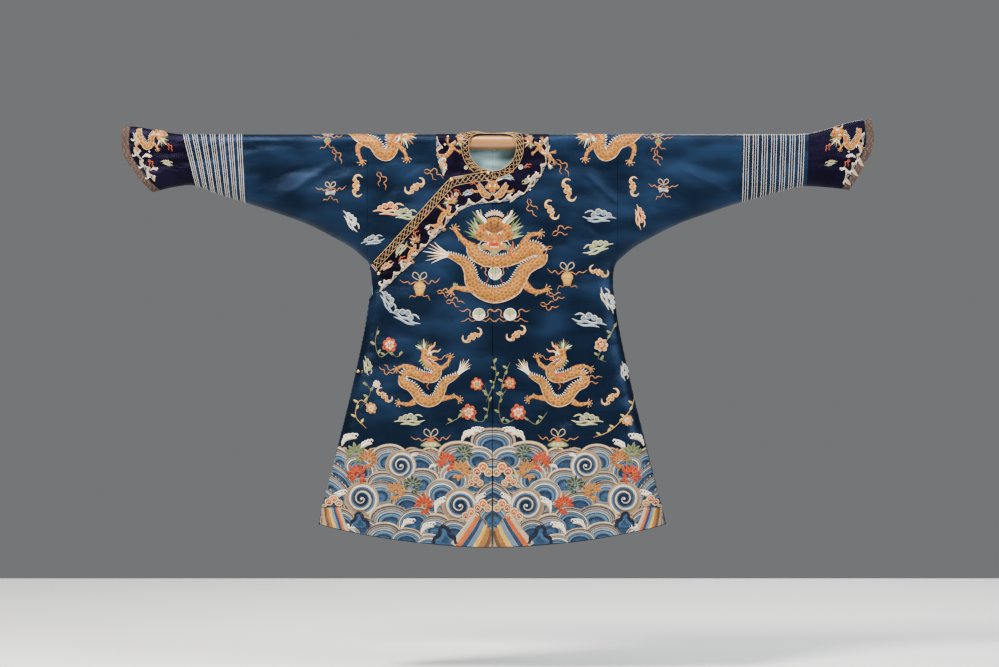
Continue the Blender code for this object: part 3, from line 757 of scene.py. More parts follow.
def flap_sink(x, v):
    x = np.abs(x)
    near_seam = (CLOTH + OVERLAP_GAP) * (1 - smooth_step(x / 0.045)) * smooth_step((v - ARC) / 0.03)
    return np.where(v < ARC, 0.0, -near_seam - FLAP_DEPTH * smooth_step(beside_lapel(x, v - ARC) / 0.10))


FINE_COLUMNS = np.sin(np.linspace(0, 1, 60) * math.pi / 2 * 0.82) / math.sin(math.pi / 2 * 0.82)
SKIRT_ROWS = 120
SHOULDER_V = np.unique(np.round(np.concatenate([
    np.linspace(FACING_BACK_V, 0.208, 104), [NECK_BACK_V, NECK_BACK_V + 0.0008, NECK_CENTRE_V + NECK_RADIUS],
]), 6))


def half_places(front_hem, front_edge):
    """x and v of one half, from the back hem over the shoulder to the front hem."""
    t = np.arange(1, SKIRT_ROWS + 1)[:, None] / SKIRT_ROWS
    share = FINE_COLUMNS[None, :]
    back = SHOULDER_V[0] - (ARC + hem_drop(share) + SHOULDER_V[0]) * t[::-1]
    middle = np.repeat(SHOULDER_V[:, None], len(FINE_COLUMNS), axis=1)
    front = SHOULDER_V[-1] + (ARC + front_hem(share) - SHOULDER_V[-1]) * t
    v = np.vstack([back, middle, front])
    drop = np.maximum(0.0, np.abs(v) - ARC)
    edge = np.where(v > 0, front_edge(drop), vent_edge(drop))
    near = np.maximum(neck_x(v), edge)
    x = near + (side_edge(drop) - near) * share
    return x, v


def overlap_places(skirt_rows=140, facing_rows=26, columns=72):
    """x, v of the overlap: from its slanting edge to the facing's lower edge, then down to the hem."""
    edge_x, edge_d, low_x, low_d, hem_share = smooth_path(LAPEL, columns).T[:, None, :]
    share = np.linspace(0, 1, facing_rows)[:, None]
    upper_x = edge_x + (low_x - edge_x) * share
    upper_d = edge_d + (low_d - edge_d) * share
    t = np.arange(1, skirt_rows + 1)[:, None] / skirt_rows
    drop = low_d + (hem_drop(hem_share) - low_d) * t
    start_share = low_x / side_x(np.maximum(low_d, 0.365))
    width = side_x(np.maximum(drop, 0.365))
    lower_x = (start_share + (hem_share - start_share) * t) * width
    x = np.vstack([upper_x, lower_x])
    d = np.vstack([upper_d, drop])
    return np.maximum(x, vent_edge(d)), d + ARC


def yoke_places(radius, back_v, half, columns):
    """x, v of the ring round the neck on one half, out to radius."""
    last = NECK_CENTRE_V + radius
    between = (SHOULDER_V > back_v + 1e-6) & (SHOULDER_V < last)
    v = np.unique(np.concatenate([[back_v], SHOULDER_V[between], [last - 1e-4]]))
    near = np.maximum(neck_x(v), SEAM_GAP / 2)
    far = collar_x(radius, back_v, v)
    if half < 0:
        edge = np.interp(v - ARC, LAPEL[:9, 1], LAPEL[:9, 0], left=0.0)
        edge = np.where(v - ARC > LAPEL[0, 1], edge + 0.002, 0.004)
        near = np.where(v > ARC, np.maximum(near, edge), near)
        keep = ~((v > ARC) & (far < near + 0.004))
        stop = np.argmin(keep) if not keep.all() else len(v)
        v, near, far = v[:stop], near[:stop], far[:stop]
    far = np.maximum(far, near + 0.004)
    share = np.linspace(0, 1, columns)[None, :]
    return near[:, None] + (far - near)[:, None] * share, np.repeat(v[:, None], columns, axis=1)


def right_yoke_lift(x, v):
    return flap_sink(x, v) + 0.0004 * smooth_step((v - 0.02) / 0.05)


# %% [markdown]
# ## Body, facings, braid and lining
# The left half is one length of silk, front and back. The right half has the under-flap in front,
# which the overlap covers, and the overlap stands off it a little, as two lined layers do.

# %% Body
ON_CLOTH = CLOTH + SEAM_GAP
ON_FACING = CLOTH + FACING + 2 * SEAM_GAP
pieces = {}

x, v = half_places(hem_drop, vent_edge)
pieces["robe_left_half"] = layer("robe_left_half", x, v, 0.0, 0.0, CLOTH, (SILK, LINING_SILK))


def flap_hem(share):
    return FLAP_HEM - 0.02 * share


x, v = half_places(flap_hem, flap_edge)
shape = x.shape
flat_x, flat_v = x.ravel(), v.ravel()
beside = beside_lapel(flat_x, flat_v - ARC)
covered = np.where(flat_v > ARC, smooth_step((beside + 0.03) / 0.05), 0.0)
room = FLAP_SIDE_ROOM * covered * smooth_step((flat_x - 0.1) / 0.18)
sink = flap_sink(flat_x, flat_v) * smooth_step(edge_distance(flat_x, flat_v - ARC, -1) / 0.03)
skins = []
for lift in (0.0, CLOTH):
    points = on_cloth(-flat_x, flat_v, sink + lift)
    points[:, 0] += room
    skins.append(points.reshape(*shape, 3))
pieces["robe_right_half"] = shell(
    "robe_right_half", skins[0], skins[1], np.stack([-x, v], -1), (SILK, LINING_SILK),
)

overlap_x, overlap_v = overlap_places()
overlap_extra = overlap_lift(overlap_x)
pieces["robe_front_overlap"] = layer(
    "robe_front_overlap", -overlap_x, overlap_v, overlap_extra, 0.0, CLOTH, (SILK, LINING_SILK),
)

# %% Facings and braid
for side, half in SIDES:
    for kind, radius, back, low, thick, columns, finish in (
        ("satin", FACING_RADIUS, FACING_BACK_V, ON_CLOTH, FACING, 26, NAVY),
        ("braid", NECK_RADIUS + TRIM_WIDTH, -ARC / 2, ON_FACING, TRIM, 9, NAVY),
    ):
        x, v = yoke_places(radius, back, half, columns)
        extra = right_yoke_lift(x, v) if half < 0 else np.zeros_like(x)
        name = f"collar_{kind}_{side}"
        pieces[name] = layer(name, x * half, v, extra, low, thick, (finish,))

lapel_rows = 26
lapel_x = overlap_x[:lapel_rows, :-3]
lapel_v = overlap_v[:lapel_rows, :-3]
lapel_extra = overlap_extra[:lapel_rows, :-3]
pieces["collar_satin_lapel"] = layer(
    "collar_satin_lapel", -lapel_x, lapel_v, lapel_extra, ON_CLOTH, FACING, (NAVY,),
)
pieces["collar_braid_lapel"] = layer(
    "collar_braid_lapel", -lapel_x[:8], lapel_v[:8], lapel_extra[:8], ON_FACING, TRIM, (NAVY,),
)

# %% Lining
for side, half in SIDES:
    x, v = half_places(hem_drop, vent_edge)
    kept = v[:, 0] < -ARC - 0.010
    kept[::2] = False
    x, v = x[kept, :44], v[kept, :44]
    pucker = 0.0012 * np.exp(-(x / 0.006) ** 2) + 0.0006 * np.sin(v * 260 + x * 40) * np.exp(-(x / 0.05) ** 2)
    name = f"back_lining_{side}"
    pieces[name] = layer(name, x * half, v, -pucker, -SEAM_GAP - LINING, LINING, (LINING_SILK,))

# %% [markdown]
# ## Sleeves and cuffs
# A sleeve piece is a tube: rings that start at the underarm seam, run up the back, over the rod and
# down the front. The rod stops inside the sleeve, so past its end the tube flattens, and the
# horse-hoof cuff flares and turns up a little.

# %% Sleeves
AROUND = np.concatenate([
    -ARC - np.linspace(1, 0, 34)[:-1], np.linspace(-ARC, ARC, 17), ARC + np.linspace(0, 1, 34)[1:-1],
])


def ring_places(half, top_x, bottom_x, bulge=0.0, power=1.0):
    """x, v and the seam's v of one ring; AROUND gives the arc's own v, or a share of the drop past it."""
    over = np.abs(AROUND) <= ARC + 1e-9
    level = np.where(over, 0.0, np.abs(AROUND) - ARC)
    guess = bottom_drop(top_x, half) + rise(top_x, half)
    run = np.where(over, np.abs(AROUND), ARC + guess * level)
    share = run / (ARC + guess)
    x = top_x + (bottom_x - top_x) * share**power
    x = x + bulge * np.sin(math.pi * np.minimum(1.0, share * 1.3)) ** 2
    seam_v = ARC + bottom_drop(x, half) + rise(x, half)
    v = np.where(over, AROUND, np.sign(AROUND) * (ARC + (seam_v - ARC) * level))
    return x, v, seam_v


def tube_skin(half, rings, lift):
    grid = []
    for x, v, seam_v in rings:
        points = on_cloth(x * half, v, lift, seam_v)
        seam = np.abs(v) >= seam_v - 1e-9
        points[seam] = cloth(x[seam] * half, seam_v[seam])
        points[seam, 1] = 0.0
        points[seam, 2] -= lift
        grid.append(points)
    return np.array(grid)


def sleeve_rings(half, part, count):
    """The rings of one part of a sleeve, as (x, v, seam_v)."""
    end = SLEEVE_ENDS[half]
    gap = SEAM_GAP / 2
    edge_top, edge_bottom = end["end_top"] - CUFF_BAND_WIDTH, end["end_bottom"] - CUFF_BAND_WIDTH
    spans = {
        "sleeve": (
            SLEEVE_SEAM_X + 0.0005, SLEEVE_SEAM_X + 0.0005, end["band_top"] - gap, end["band_bottom"] - gap,
        ),
        "band": (
            end["band_top"] + gap, end["band_bottom"] + gap, end["cuff_top"] - gap, end["cuff_bottom"] - gap
        ),
        "cuff": (end["cuff_top"] + gap, end["cuff_bottom"] + gap, edge_top - gap, edge_bottom - gap),
        "cuff_edge": (edge_top + 0.0008, edge_bottom + 0.0008, end["end_top"], end["end_bottom"]),
    }
    top_a, bottom_a, top_b, bottom_b = spans[part]
    rings = []
    for t in np.linspace(0, 1, count):
        flare = {"cuff": t, "cuff_edge": 1.0}.get(part, 0.0)
        rings.append(ring_places(
            half, top_a + (top_b - top_a) * t, bottom_a + (bottom_b - bottom_a) * t,
            end["end_bulge"] * flare, 1 + 1.2 * flare,
        ))
    return rings


def build_tube(name, half, part, count, materials):
    rings = sleeve_rings(half, part, count)
    uv = np.array([np.stack([x * half, v], -1) for x, v, _ in rings])
    pieces[name] = shell(
        name, tube_skin(half, rings, 0.0), tube_skin(half, rings, CLOTH), uv, materials, ring=True,
    )


for side, half in SIDES:
    build_tube(f"upper_sleeve_{side}", half, "sleeve", 70, (SILK, LINING_SILK))
    build_tube(f"striped_band_{side}", half, "band", 40, (BAND_SILK, LINING_SILK))
    build_tube(f"hoof_cuff_{side}", half, "cuff", 36, (NAVY, LINING_SILK))
    build_tube(f"cuff_brocade_{side}", half, "cuff_edge", 6, (BROCADE, LINING_SILK))
print("cloth pieces:", len(pieces), "faces:", sum(len(p.data.polygons) for p in pieces.values()))

# %% [markdown]
# ## Couched cord with Geometry Nodes
# Outlines, flames, ribbons and the pale lines of the sleeves are a round cord laid on the cloth and
# caught down. A node tree sweeps a circle along every drawn line at once, so one tree with a named
# size makes all of them. Its result is turned into a plain mesh before the piece is used.

# %% Cord tree


def cord_tree():
    tree = bpy.data.node_groups.new("couched_cord", "GeometryNodeTree")
    for title, way, kind in (
        ("Lines", "INPUT", "Geometry"), ("Cord radius", "INPUT", "Float"), ("Sides", "INPUT", "Int"),
        ("Finish", "INPUT", "Material"), ("Cord", "OUTPUT", "Geometry"),
    ):
        tree.interface.new_socket(title, in_out=way, socket_type="NodeSocket" + kind)
    nodes, link = tree.nodes, tree.links.new
    source, result = nodes.new("NodeGroupInput"), nodes.new("NodeGroupOutput")
    lines, circle = nodes.new("GeometryNodeMeshToCurve"), nodes.new("GeometryNodeCurvePrimitiveCircle")
    radius, scale = nodes.new("GeometryNodeInputNamedAttribute"), nodes.new("GeometryNodeSetCurveRadius")
    radius.data_type = "FLOAT"
    radius.inputs["Name"].default_value = "taper"
    sweep, smooth = nodes.new("GeometryNodeCurveToMesh"), nodes.new("GeometryNodeSetShadeSmooth")
    whole, paint = nodes.new("GeometryNodeRealizeInstances"), nodes.new("GeometryNodeSetMaterial")
    sweep.inputs["Fill Caps"].default_value = True
    link(source.outputs["Lines"], lines.inputs["Mesh"])
    link(lines.outputs["Curve"], scale.inputs["Curve"])
    link(radius.outputs[0], scale.inputs["Radius"])
    link(source.outputs["Cord radius"], circle.inputs["Radius"])
    link(source.outputs["Sides"], circle.inputs["Resolution"])
    link(scale.outputs["Curve"], sweep.inputs["Curve"])
    link(circle.outputs["Curve"], sweep.inputs["Profile Curve"])
    if "Scale" in sweep.inputs:
        link(radius.outputs[0], sweep.inputs["Scale"])
    link(sweep.outputs["Mesh"], smooth.inputs["Geometry"])
    link(smooth.outputs["Geometry"], whole.inputs["Geometry"])
    link(whole.outputs["Geometry"], paint.inputs["Geometry"])
    link(source.outputs["Finish"], paint.inputs["Material"])
    link(paint.outputs["Geometry"], result.inputs["Cord"])
    return tree


CORD_TREE = cord_tree()


def run_tree(name, tree, source_mesh, **values):
    """A plain mesh object made by the tree from this mesh."""
    carrier = bpy.data.objects.new("carrier", source_mesh)
    bpy.context.scene.collection.objects.link(carrier)
    modifier = carrier.modifiers.new("maker", "NODES")
    modifier.node_group = tree
    sockets = {s.name: s.identifier for s in tree.interface.items_tree if s.in_out == "INPUT"}
    for key, value in values.items():
        modifier[sockets[key.replace("_", " ").capitalize()]] = value
    made = bpy.data.meshes.new_from_object(carrier.evaluated_get(bpy.context.evaluated_depsgraph_get()))
    made.name = name
    bpy.data.objects.remove(carrier)
    thing = bpy.data.objects.new(name, made)
    bpy.context.scene.collection.objects.link(thing)
    return thing


def lines_mesh(paths, colours, tapers=None):
    """Loose edges along the paths, with each point's thread colour and share of the full thickness."""
    points, edges, shades, widths = [], [], [], []
    first = 0
    for path, colour, taper in zip(paths, colours, tapers or [np.ones(len(path)) for path in paths]):
        count = len(path)
        points.append(path)
        edges.append(np.stack([np.arange(count - 1), np.arange(1, count)], 1) + first)
        shades.append(np.broadcast_to(colour, (count, 3)))
        widths.append(taper)
        first += count
    mesh = bpy.data.meshes.new("lines")
    mesh.from_pydata(np.concatenate(points).tolist(), np.concatenate(edges).tolist(), [])
    layer_data = mesh.color_attributes.new("thread", "FLOAT_COLOR", "POINT").data
    layer_data.foreach_set("color", np.c_[np.concatenate(shades), np.ones(first)].astype(np.float32).ravel())
    mesh.attributes.new("taper", "FLOAT", "POINT").data.foreach_set(
        "value", np.concatenate(widths).astype(np.float32),
    )
    return mesh


def lay_cords(name, paths, colours, radius, finish=CORD, sides=5, tapers=None):
    made = run_tree(
        name, CORD_TREE, lines_mesh(paths, colours, tapers), Cord_radius=radius, Sides=sides, Finish=finish,
    )
    print(name, len(paths), "lines,", len(made.data.polygons), "faces")
    return made


# %% [markdown]
# ## Pale lines on the sleeves
# Four cords close together, then a gap, seven times over. They run all round the sleeve and keep
# their place between its two slanting seams.

# %% Sleeve lines
PALE_THREADS = [(0.72, 0.70, 0.64), (0.56, 0.58, 0.58), (0.76, 0.73, 0.64), (0.48, 0.52, 0.56)]
SLEEVE_CORD_RADIUS = 0.00080
STRIPE_GROUPS = 7
STRIPES = 3


def sleeve_lines(half, first, period, step):
    end = SLEEVE_ENDS[half]
    paths = []
    for group in range(STRIPE_GROUPS):
        for line in range(STRIPES):
            share = first + period * group + step * line
            top = end["cuff_top"] + (end["band_top"] - end["cuff_top"]) * share
            bottom = end["cuff_bottom"] + (end["band_bottom"] - end["cuff_bottom"]) * share
            ring = ring_places(half, top, bottom)
            skin = tube_skin(half, [ring], CLOTH + 0.0003)[0]
            paths.append(np.vstack([skin, skin[:1]]))
    return paths


for side, half, first, period, step in (
    ("right", -1, 0.014, 0.1475, 0.036), ("left", 1, 0.068, 0.1390, 0.037),
):
    paths = sleeve_lines(half, first, period, step)
    colours = [PALE_THREADS[n % STRIPES] for n in range(len(paths))]
    pieces[f"sleeve_lines_{side}"] = lay_cords(f"sleeve_lines_{side}", paths, colours, SLEEVE_CORD_RADIUS)

# %% [markdown]
# ## Needlework
# A motif is made of three things: filled shapes, bands that follow a line, and cords. All are drawn
# flat on the chart, a little raised in the middle as padded stitches are, and then laid on the cloth.
# Later shapes lie a little higher than earlier ones, as when stitches are worked over each other.

# %% Thread colours
T = {
    "cream": (0.60, 0.47, 0.28), "white": (0.80, 0.74, 0.62), "tan": (0.28, 0.185, 0.10),
    "sand": (0.40, 0.29, 0.165), "gold": (0.345, 0.148, 0.021), "gold_deep": (0.27, 0.100, 0.014),
    "peach": (0.45, 0.180, 0.034), "pale_peach": (0.66, 0.38, 0.13), "orange": (0.43, 0.072, 0.005),
    "red": (0.27, 0.015, 0.004), "rust": (0.20, 0.045, 0.009), "yellow": (0.52, 0.31, 0.040),
    "olive": (0.080, 0.088, 0.018), "green": (0.115, 0.135, 0.045), "pale_green": (0.33, 0.35, 0.15),
    "sage": (0.17, 0.21, 0.11), "sky": (0.085, 0.150, 0.220), "pale_blue": (0.27, 0.35, 0.40),
    "blue": (0.010, 0.030, 0.068), "mid_blue": (0.026, 0.066, 0.125), "yellow_gold": (0.365, 0.172, 0.027),
    "navy": (0.0030, 0.0080, 0.0220), "ink": (0.002, 0.003, 0.010), "grey": (0.19, 0.20, 0.21),
    "brown": (0.090, 0.042, 0.014),
}


def shade(name, amount=1.0):
    return tuple(min(1.0, c * amount) for c in T[name]) if isinstance(name, str) else name


LEVEL_MM = 0.45
CORD_RADIUS = 0.00125

# %% Needlework collector


class Needlework:
    """Collects shapes drawn on the chart for one face of the robe and makes pieces from them."""

    def __init__(self, name, base, back=False, clip=None):
        self.name, self.base, self.back, self.clip = name, base, back, clip
        self.kinds = {"stitch": [], "scales": []}
        self.cords = []
        self.at(0, 0)

    def at(self, x, y, size=1.0, angle=0.0, flip=False, floor=0.0):
        """The shapes that follow are drawn round this chart place, this large and turned by angle."""
        self.origin, self.size, self.floor = np.array([x, y], float), size, floor
        self.flip = -1 if flip else 1
        turn = math.radians(angle)
        self.turn = np.array([[math.cos(turn), math.sin(turn)], [-math.sin(turn), math.cos(turn)]])
        return self

    def chart(self, points):
        return (drawn(points) * self.size @ self.turn) * [self.flip, 1] + self.origin

    def to_sheet(self, points):
        """Signed x and v on the cloth for places on the chart; the back is drawn as seen from behind."""
        x = (points[:, 0] - CHART_X) * SQUARE
        if self.back:
            x = -x
        lift_up = np.where(x > 0, rise(np.abs(x), 1), rise(np.abs(x), -1))
        v = (points[:, 1] - CHART_Y) * SQUARE + ARC + lift_up
        return x, -v if self.back else v

    def add(self, points, lifts, faces, colours, uv, kind, level):
        lifts = np.asarray(lifts, float) + self.floor + level * LEVEL_MM
        self.kinds[kind].append((points, lifts, faces, colours, uv))

    def band(
        self, path, widths, colours, height=0.5, offsets=(-1, -0.6, 0, 0.6, 1), kind="stitch", level=0,
        step=2.2,
    ):
        """A band along a path; widths are half widths along it, and colours go across it."""
        path = self.chart(path)
        count = max(5, int(distances(path)[-1] / step) + 2)
        line = smooth_path(path, count)
        width = np.interp(
            np.linspace(0, 1, count), np.linspace(0, 1, np.size(widths)), np.ravel(widths),
        ) * self.size
        normal = directions(line)[1] * self.flip
        offsets = np.asarray(offsets, float)
        points = (line[:, None] + normal[:, None] * (width[:, None] * offsets)[..., None]).reshape(-1, 2)
        lift = np.tile((1 - np.abs(offsets) ** 2.5 * 1.15) * height, count)
        across = np.array([shade(c) for c in (colours.split() if isinstance(colours, str) else colours)])
        place = np.linspace(0, len(across) - 1, len(offsets))
        row = np.stack([np.interp(place, np.arange(len(across)), across[:, k]) for k in range(3)], axis=1)
        along = distances(line) * SQUARE
        uv = np.stack([np.repeat(along, len(offsets)), (width[:, None] * offsets * SQUARE).ravel()], axis=1)
        self.add(points, lift, grid_quads(count, len(offsets)), np.tile(row, (count, 1)), uv, kind, level)

    def fill(
        self, outline, colour, edge=None, height=0.55, turn=0.0, smooth=24, rings=(1.0, 0.72, 0.36),
        level=0, kind="stitch",
    ):
        """A filled shape round its middle; edge is its rim's colour and turn the stitches' direction."""
        outline = self.chart(outline)
        line = smooth_path(outline, smooth + 1, closed=True)[:-1] if smooth else outline
        middle, count = line.mean(axis=0), len(line)
        shares = np.array([*rings, 0.02])
        points = (middle + (line - middle) * shares[:, None, None]).reshape(-1, 2)
        lifts = np.repeat(height * (1 - shares**2.5 * 1.15), count)
        inside, rim = np.array(shade(colour)), np.array(shade(edge or colour))
        blend = np.repeat(np.maximum(0.0, (shares - 0.45) / 0.55) ** 1.4, count)[:, None]
        flat = (points - middle) * SQUARE
        c, s = math.cos(turn), math.sin(turn)
        uv = np.stack([flat[:, 0] * c + flat[:, 1] * s, flat[:, 1] * c - flat[:, 0] * s], axis=1)
        faces = grid_quads(len(shares), count, True)
        self.add(points, lifts, faces, inside + (rim - inside) * blend, uv, kind, level)

    def disc(self, x, y, radius, colour, edge=None, height=0.6, squash=1.0, level=0, sides=14, kind="stitch"):
        angle = np.linspace(0, 2 * math.pi, sides, endpoint=False)
        outline = np.stack([x + radius * np.cos(angle), y + radius * squash * np.sin(angle)], 1)
        self.fill(outline, colour, edge, height, smooth=0, level=level, kind=kind)

    def petal(self, x, y, length, width, angle, colour, edge=None, height=0.5, level=0, blunt=False):
        """A leaf or petal from (x, y), this long and half this wide, pointing along angle in degrees."""
        a = math.radians(angle)
        ux, uy = math.cos(a), math.sin(a)
        half = rows("0 0.05, 0.3 0.7, 0.62 1, 0.88 0.8" if blunt else "0 0.05, 0.25 0.8, 0.5 1, 0.78 0.6")
        shape = np.vstack([half, [1, 0], half[::-1] * [1, -1]]) * [length, width]
        outline = shape @ [[ux, uy], [-uy, ux]] + [x, y]
        self.fill(outline, colour, edge, height, a, 12, (1.0, 0.6), level)

    def spikes(self, path, spacing, length, width, side, colour="white", lean=0.35, level=0.3):
        """Small pointed stitches standing off one side of a path."""
        path = self.chart(path)
        line = smooth_path(path, max(3, int(distances(path)[-1] / (spacing * self.size)) + 1))
        tangent, normal = directions(line)
        out = (normal * side * self.flip + tangent * lean) * length * self.size
        half = tangent * width * self.size
        middle = line + out * 0.5
        points = np.stack([line - half, line + half, middle + half * 0.5, line + out, middle - half * 0.5], 1)
        count = len(line)
        faces = np.array([[0, 1, 2, 4], [4, 2, 3, 3]]) + np.arange(count)[:, None, None] * 5
        lifts = np.tile([0.35, 0.35, 0.4, 0.1, 0.4], count)
        colours = np.tile(shade(colour), (count * 5, 1))
        flat = points.reshape(-1, 2)
        self.add(flat, lifts, faces.reshape(-1, 4), colours, flat * SQUARE, "stitch", level)

    def cord(self, path, colour, thick=1.0, level=0):
        path = self.chart(path)
        line = smooth_path(path, max(6, int(distances(path)[-1] / 1.5)))
        t = np.linspace(0, 1, len(line))
        ends = np.clip(np.minimum(t, 1 - t) * 8, 0.4, 1.0) * thick
        self.cords.append((line, shade(colour), ends, self.floor + level * LEVEL_MM))

    def place(self, points, lift):
        x, v = self.to_sheet(points)
        return self.base(x, v, lift * 0.001)

    def cloth_mesh(self, kind, finish):
        parts = self.kinds[kind]
        firsts = np.concatenate([[0], np.cumsum([len(p[0]) for p in parts])])
        points, lifts, colours, uv = (np.concatenate([p[k] for p in parts]) for k in (0, 1, 3, 4))
        faces = np.concatenate([p[2] + first for p, first in zip(parts, firsts)])
        if self.clip is not None:
            points, inside = self.clip(points)
            faces = faces[inside[faces].any(axis=1)]
        place = self.place(points, lifts)
        out = self.place(points, lifts + 4.0) - place
        normal = np.cross(place[faces[:, 2]] - place[faces[:, 0]], place[faces[:, 3]] - place[faces[:, 1]])
        faces = np.where(((normal * out[faces[:, 0]]).sum(1) < 0)[:, None], faces[:, ::-1], faces)
        pointed = (faces[:, 2] == faces[:, 3]) | (faces[:, 0] == faces[:, 1])
        corner = np.where((faces[:, 2] == faces[:, 3])[:, None], faces[:, :3], faces[:, 1:])
        name = f"{self.name}_{kind}"
        return make_mesh(name, place, faces[~pointed], corner[pointed], uv, colours, (finish,))

    def make(self):
        """The pieces for everything drawn so far."""
        finishes = {"stitch": STITCH, "scales": GOLD}
        made = [self.cloth_mesh(kind, finishes[kind]) for kind in finishes if self.kinds[kind]]
        if self.cords:
            lines, colours, tapers, levels = zip(*self.cords)
            counts = [len(line) for line in lines]
            place = self.place(np.concatenate(lines), np.repeat(levels, counts) + 0.4)
            splits = np.cumsum(counts)[:-1]
            made.append(
                lay_cords(f"{self.name}_cord", np.split(place, splits), colours, CORD_RADIUS, tapers=tapers)
            )
        for thing in made:
            pieces[thing.name] = thing
        print(self.name, "faces:", sum(len(thing.data.polygons) for thing in made))
        return made

# %% [markdown]
# ## Small motifs
# Each of these traditional motifs is a short recipe round its own middle, in squares of the chart, so
# it can be worked at any place, size and turn. A motif has a few filled shapes and bands, with cords
# for its outline and ribbons. Needlework done by hand is never twice the same, so sizes vary a little.

# %% Small motifs


def bat(work, x, y, size=1.0, angle=0.0, flip=False):
    """A bat: a row of lobes with two thin wing tips that hook forward."""
    work.at(x, y, size, angle, flip)
    for side in (-1, 1):
        wing = sided("6.4 1.6, 9.8 0.4, 11 -3.4, 8.6 -6.8", side)
        work.band(wing, [1.6, 1.3, 1.0, 0.35], "gold_deep pale_peach cream peach", 0.6, step=1.2)
    for n, (bx, by, r) in enumerate(
        ((-6.0, 1.2, 2.2), (6.0, 1.2, 2.2), (-3.0, -1.2, 2.5), (3.0, -1.2, 2.5), (0.0, 0.8, 2.6))
    ):
        work.disc(bx, by, r, "peach", "pale_peach", 0.7, level=0.3 + 0.2 * n, sides=14)
        work.cord([(bx - 1.0, by + 1.0), (bx, by - 0.8), (bx + 1.1, by + 0.6)], "gold_deep", 0.45, level=2.4)
    work.disc(0, -3.2, 1.5, "cream", "peach", 0.7, level=1.6, sides=10)
    for side in (-1, 1):
        work.disc(0.6 * side, -3.4, 0.42, "rust", level=2.4, sides=7)


def curl(work, x, y, radius, turns, start, colours, width, level=0.0):
    """A band that winds inwards round (x, y)."""
    t = np.linspace(0, 1, int(14 * turns) + 4)
    angle = math.radians(start) + t * turns * 2 * math.pi
    reach = radius * (1 - t) ** 0.9 + 0.12 * radius
    work.band(
        np.stack([x + reach * np.cos(angle), y + reach * np.sin(angle)], 1),
        [width, width * 0.8, width * 0.35], colours, step=0.12 * radius + 0.5, level=level,
        offsets=(-1, -0.66, -0.33, 0, 0.33, 0.66, 1),
    )


def cloud(work, x, y, size=1.0, angle=0.0, flip=False, tints=("pale_blue", "sky", "cream")):
    """Curled lobes over two waving tails, with the dark ground showing between them."""
    work.at(x, y, size, angle, flip)
    pale, deep, rim = tints
    for tail, wide in (("-16 2.6, -9 1.4, -3 2.8, 3 1.6, 9 3, 16 0.8", 1.2),
                       ("-10 5.2, -3 4.6, 4 5.6, 11 4.6", 1.0), ("4 -3.4, 9 -4.6, 13.5 -2.6", 0.8)):
        work.band(tail, [0.25, wide, wide, wide, 0.2], [rim, pale, deep], step=1.8)
    for cx, cy, r in ((-8.6, -0.4, 2.3), (-4.0, -2.2, 2.6), (1.2, -3.2, 3.0), (5.6, -0.6, 2.3)):
        work.disc(cx, cy, r, deep, deep, level=0.8, sides=14)
        curl(work, cx, cy, r, 1.4, 150, [rim, rim, pale, deep], r * 0.22, level=1.2)


def ribbon(work, x, y, size=1.0, angle=0.0, flip=False, colour="peach"):
    """A pair of waving cords, as the flames and sashes are drawn."""
    work.at(x, y, size, angle, flip)
    long = "0 0, 3 -2.6, 6.5 -2.2, 8.5 -6.2, 12 -5.4, 13.2 -1.8, 17 -3, 21 -0.6"
    short = "0.5 1, 4.2 1.8, 6.2 -0.4, 9.6 0.6, 11.6 3.8, 15.2 3.4"
    work.cord(long, colour)
    work.cord(short, colour, 0.85)


def pearl(work, x, y, radius=5.6, flames=True, flip=False, top="pale_green", low="cream"):
    work.at(x, y, radius / 5.6, 0, flip)
    work.disc(0, 0, 5.6, low, "white", 0.9, sides=26)
    work.fill("-4.6 -1.2, -2.4 -4.4, 1.8 -4.9, 4.6 -2.2, 3 0.4, 0.4 1.4, -2.8 0.6", top, "sage", level=1.4)
    work.cord("0 -4.6, 0.4 -0.4, -0.6 4.6", "brown", 0.35, level=3)
    if flames:
        for side in (-1, 1):
            work.cord(sided("4.6 3.4, 8.4 1.2, 7.8 -3, 11 -4.6, 13.8 -2.4, 17.6 -3.6", side), "peach")
            work.cord(sided("2.6 5.4, 6.6 6.2, 9.8 3.6, 12.4 5.8, 16.4 6.6", side), "gold", 0.85)


def spray(work, x, y, size, angle, strong, pale, petals=8, flip=False):
    """Two fans of pointed leaves on one stalk, each leaf paler round its edge."""
    work.at(x, y, size, angle, flip, floor=SPRAY_FLOOR)
    for n in range(petals):
        turn = -90 + (n - (petals - 1) / 2) * (225 / petals)
        away = math.radians(turn)
        length = 7.6 - 1.2 * abs(n - (petals - 1) / 2) / petals + (n % 2) * 0.9
        work.petal(
            1.7 * math.cos(away), 1.7 * math.sin(away), length, 1.5, turn, strong, pale,
            level=0.25 * (n % 2), height=0.7,
        )
        if n % 2:
            work.petal(0.4, 4.2, 5.4, 1.3, turn + 150, strong, pale, level=0.5, height=0.6)
    work.disc(0, 0.4, 1.4, pale, strong, level=0.6, sides=10)


def flower(work, x, y, size=1.0, colours=("red", "peach", "cream"), angle=0.0, floor=0.0):
    """A peony: outer petals, inner petals and a small heart."""
    work.at(x, y, size, angle, floor=floor)
    deep, middle, pale = colours
    for ring, (count, reach, width) in enumerate(((7, 6.6, 2.2), (6, 4.6, 1.6), (4, 2.8, 1.2))):
        for n in range(count):
            tint, rim = ((deep, middle), (pale, deep), (middle, pale))[ring]
            work.petal(
                0, 0, reach * (1 + 0.12 * (n % 2)), width, 360 / count * n + 20 * ring, tint, rim,
                level=ring + 0.2 * (n % 2), blunt=True,
            )
    work.disc(0, 0, 1.1, "yellow", "gold_deep", level=3.4, sides=10)


